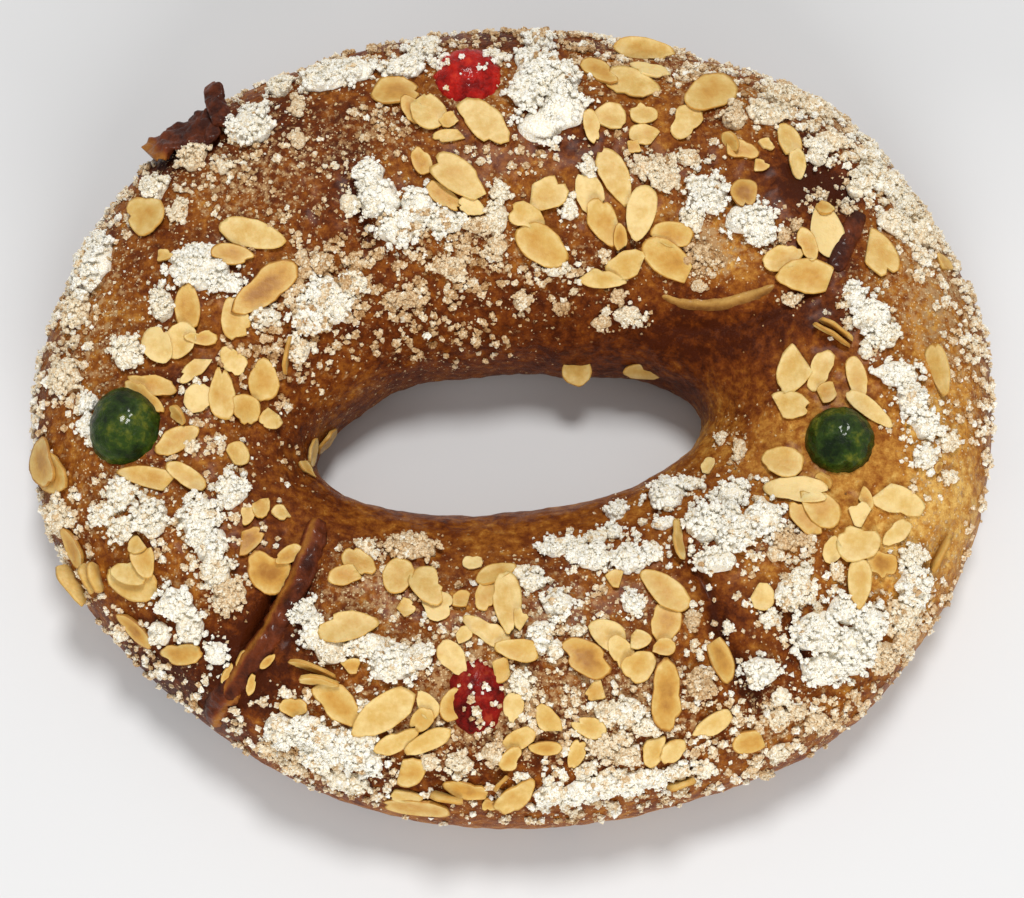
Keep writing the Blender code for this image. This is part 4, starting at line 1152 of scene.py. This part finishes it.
def strip_shape(path, width, thickness, lift, curl, crumple, lit, start_lift=0, start_amber=0,
                narrowing=ENDS_NARROW):
    """A strip of peel along its path, lying on the crust, its edges curled and its faces crumpled."""
    at = path_frames(path)
    bm = bmesh.new()
    bmesh.ops.create_cube(bm, size=2.0)
    for axis, cuts in enumerate(STRIP_CUTS):
        across = [e for e in bm.edges if abs(e.verts[0].co[axis] - e.verts[1].co[axis]) > 1]
        bmesh.ops.subdivide_edges(bm, edges=across, cuts=cuts, use_grid_fill=True)
    # This attribute holds painted light: the amber line of light through the peel.
    edge = bm.verts.layers.float.new("edge")
    stations = {}
    for vertex in bm.verts:
        u, v, w = vertex.co
        share = round((u + 1) / 2, 4)
        if share not in stations:
            stations[share] = at(share)
        point, side, normal = stations[share]
        round_off = max(abs(v), abs(w)) / max(math.hypot(v, w), 0.001)
        v_round, w_round = v * (0.35 + 0.65 * round_off), w * (0.35 + 0.65 * round_off)
        taper = 1 - narrowing * u ** 6
        half_width = width / 2 * MM * taper
        half_thick = thickness / 2 * MM * (1 - 0.3 * v * v) * (1 - 0.4 * u ** 8)
        sunk = STRIP_SINK * thickness + 2.5 * (narrowing - ENDS_NARROW) * u ** 4
        rise = (lift + start_lift * (1 - share) ** 1.5 - sunk + curl * v * v) * MM
        place = point + side * v_round * half_width + normal * (rise + w_round * half_thick)
        bend = 1.5 * abs(noise.noise(place / (6 * MM))) + 0.4 * noise.noise(place / (2.2 * MM)) - 0.4
        # Painted light: an amber line along the strip, and at its start.
        glow = 0.75 * math.exp(-(((v - lit) / 0.38) ** 2)) + start_amber * math.exp(-((share / 0.16) ** 2))
        vertex[edge] = glow + 0.3 * noise.noise(place / (9 * MM))
        vertex.co = place + normal * crumple * bend * MM + side * 0.5 * crumple * bend * MM
    bmesh.ops.recalc_face_normals(bm, faces=bm.faces)
    keep_inside(bm)
    return bm


def make_table():
    """The pale surface that the cake lies on, darker towards its far side as painted shade."""
    bm = bmesh.new()
    bmesh.ops.create_grid(bm, x_segments=1, y_segments=1, size=2.0)
    bmesh.ops.translate(bm, vec=(0, 0, -0.1 * MM), verts=bm.verts)
    material, tree = new_material("pale_table")
    far = add_node(tree, "ShaderNodeSeparateXYZ", {}, {"Vector": object_place(tree)}).outputs["Y"]
    # Painted shade: the table's colour darkens towards the far side, where less light falls.
    shade = arithmetic(tree, "MULTIPLY_ADD", far, 3.0, grain_noise(tree, 6, 2.0))
    colour = colour_ramp(tree, shade, ((0.45, (0.685, 0.69, 0.70)), (1.0, (0.595, 0.60, 0.61))))
    finish_material(material, {"Base Color": colour, "Roughness": 0.8}, ())
    table = piece_from(bm, "table", material)


def add_lamp(name, place, size, watts, mirrored):
    data = bpy.data.lights.new(name, "AREA")
    data.shape = "DISK"
    data.size = size
    data.energy = watts
    data.color = LIGHT_COLOUR
    lamp = bpy.data.objects.new(name, data)
    lamp.location = place
    lamp.rotation_euler = (-Vector(place)).to_track_quat("-Z", "Y").to_euler()
    lamp.visible_glossy = mirrored
    bpy.context.scene.collection.objects.link(lamp)


def make_light():
    """A lamp high over the far side, a weak one low at the near side, and an even pale room."""
    world = bpy.data.worlds.new("room")
    world.use_nodes = True
    background = world.node_tree.nodes["Background"]
    background.inputs["Color"].default_value = (*LIGHT_COLOUR, 1)
    background.inputs["Strength"].default_value = ROOM_STRENGTH
    bpy.context.scene.world = world
    for lamp in LAMPS:
        add_lamp(*lamp)


def make_camera():
    data = bpy.data.cameras.new("camera")
    data.lens = CAMERA_LENS
    data.sensor_width = 36
    data.shift_x, data.shift_y = CAMERA_SHIFT
    camera = bpy.data.objects.new("camera", data)
    back = Vector((0, -math.cos(CAMERA_ELEVATION), math.sin(CAMERA_ELEVATION)))
    camera.location = CAMERA_AIM + back * CAMERA_DISTANCE
    camera.rotation_euler = (-back).to_track_quat("-Z", "Y").to_euler()
    bpy.context.scene.collection.objects.link(camera)
    bpy.context.scene.camera = camera
    bpy.context.scene.view_settings.view_transform = "Standard"


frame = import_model()
cad_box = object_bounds()

make_camera()
make_light()
make_table()

sugar = damp_sugar()
crust = make_crust()
dress(crust, "bread")
crust_surface = surface_of(crust)

lumps = make_lumps(sugar)
dress(lumps, "bread")

fleshes = {
    "green": candied_fruit("green_cherry", (0.004, 0.012, 0.001), (0.024, 0.05, 0.004),
                           (0.15, 0.155, 0.012), 0.3),
    "red": candied_fruit("red_cherry", (0.16, 0.003, 0.002), (0.42, 0.010, 0.006),
                         (0.64, 0.05, 0.02), 0.16),
    "dark_red": candied_fruit("dark_red_cherry", (0.06, 0.002, 0.001), (0.24, 0.008, 0.005),
                              (0.42, 0.06, 0.02), 0.06),
}
cherries = []
for name, flesh, *shape in CHERRIES:
    cherry = make_cherry(name, fleshes[flesh], *shape)
    dress(cherry, name)
    cherries.append(cherry)

peels = {
    "dark_peel": candied_peel("dark_peel", (0.042, 0.009, 0.004), (0.16, 0.034, 0.009), (0.34, 0.13, 0.02)),
    "amber_peel": candied_peel("amber_peel", (0.15, 0.055, 0.012), (0.30, 0.14, 0.028), (0.48, 0.27, 0.07)),
}
strips = []
for name, shape in STRIPS.items():
    peel = "amber_peel" if name == "peel_curved" else "dark_peel"
    strip = piece_from(strip_shape(**shape), "candied_" + name, peels[peel])
    dress(strip, name.removesuffix("_end"))
    strips.append(strip)

almonds = make_almonds(surface_of(crust, lumps))
dress(almonds, "bread")

almond_surface = surface_of(almonds)
knobs = [row for row in clump_knobs() if not covered(row[0], almond_surface)]
grains = [row for row in knob_grains(knobs) + foot_grains() if not covered(row[0], almond_surface)]
bare_surface = surface_of(almonds, *strips, *cherries[:2])
crumbs = loose_crumbs(surface_of(crust, lumps, *cherries[2:]))
crumbs = [row for row in crumbs if not covered(row[0], bare_surface)]
heaps = (("sugar_knobs", [row[:3] for row in knobs], "lump"), ("sugar_grains", grains, "crystal"),
         ("sugar_crumbs", crumbs, "crumb"))
for kind, heap, shape in heaps:
    for start in range(0, len(heap), HEAP_LIMIT):
        poured = pour(heap[start:start + HEAP_LIMIT], f"{kind}_{start // HEAP_LIMIT + 1}", sugar, shape)
        dress(poured, "bread")
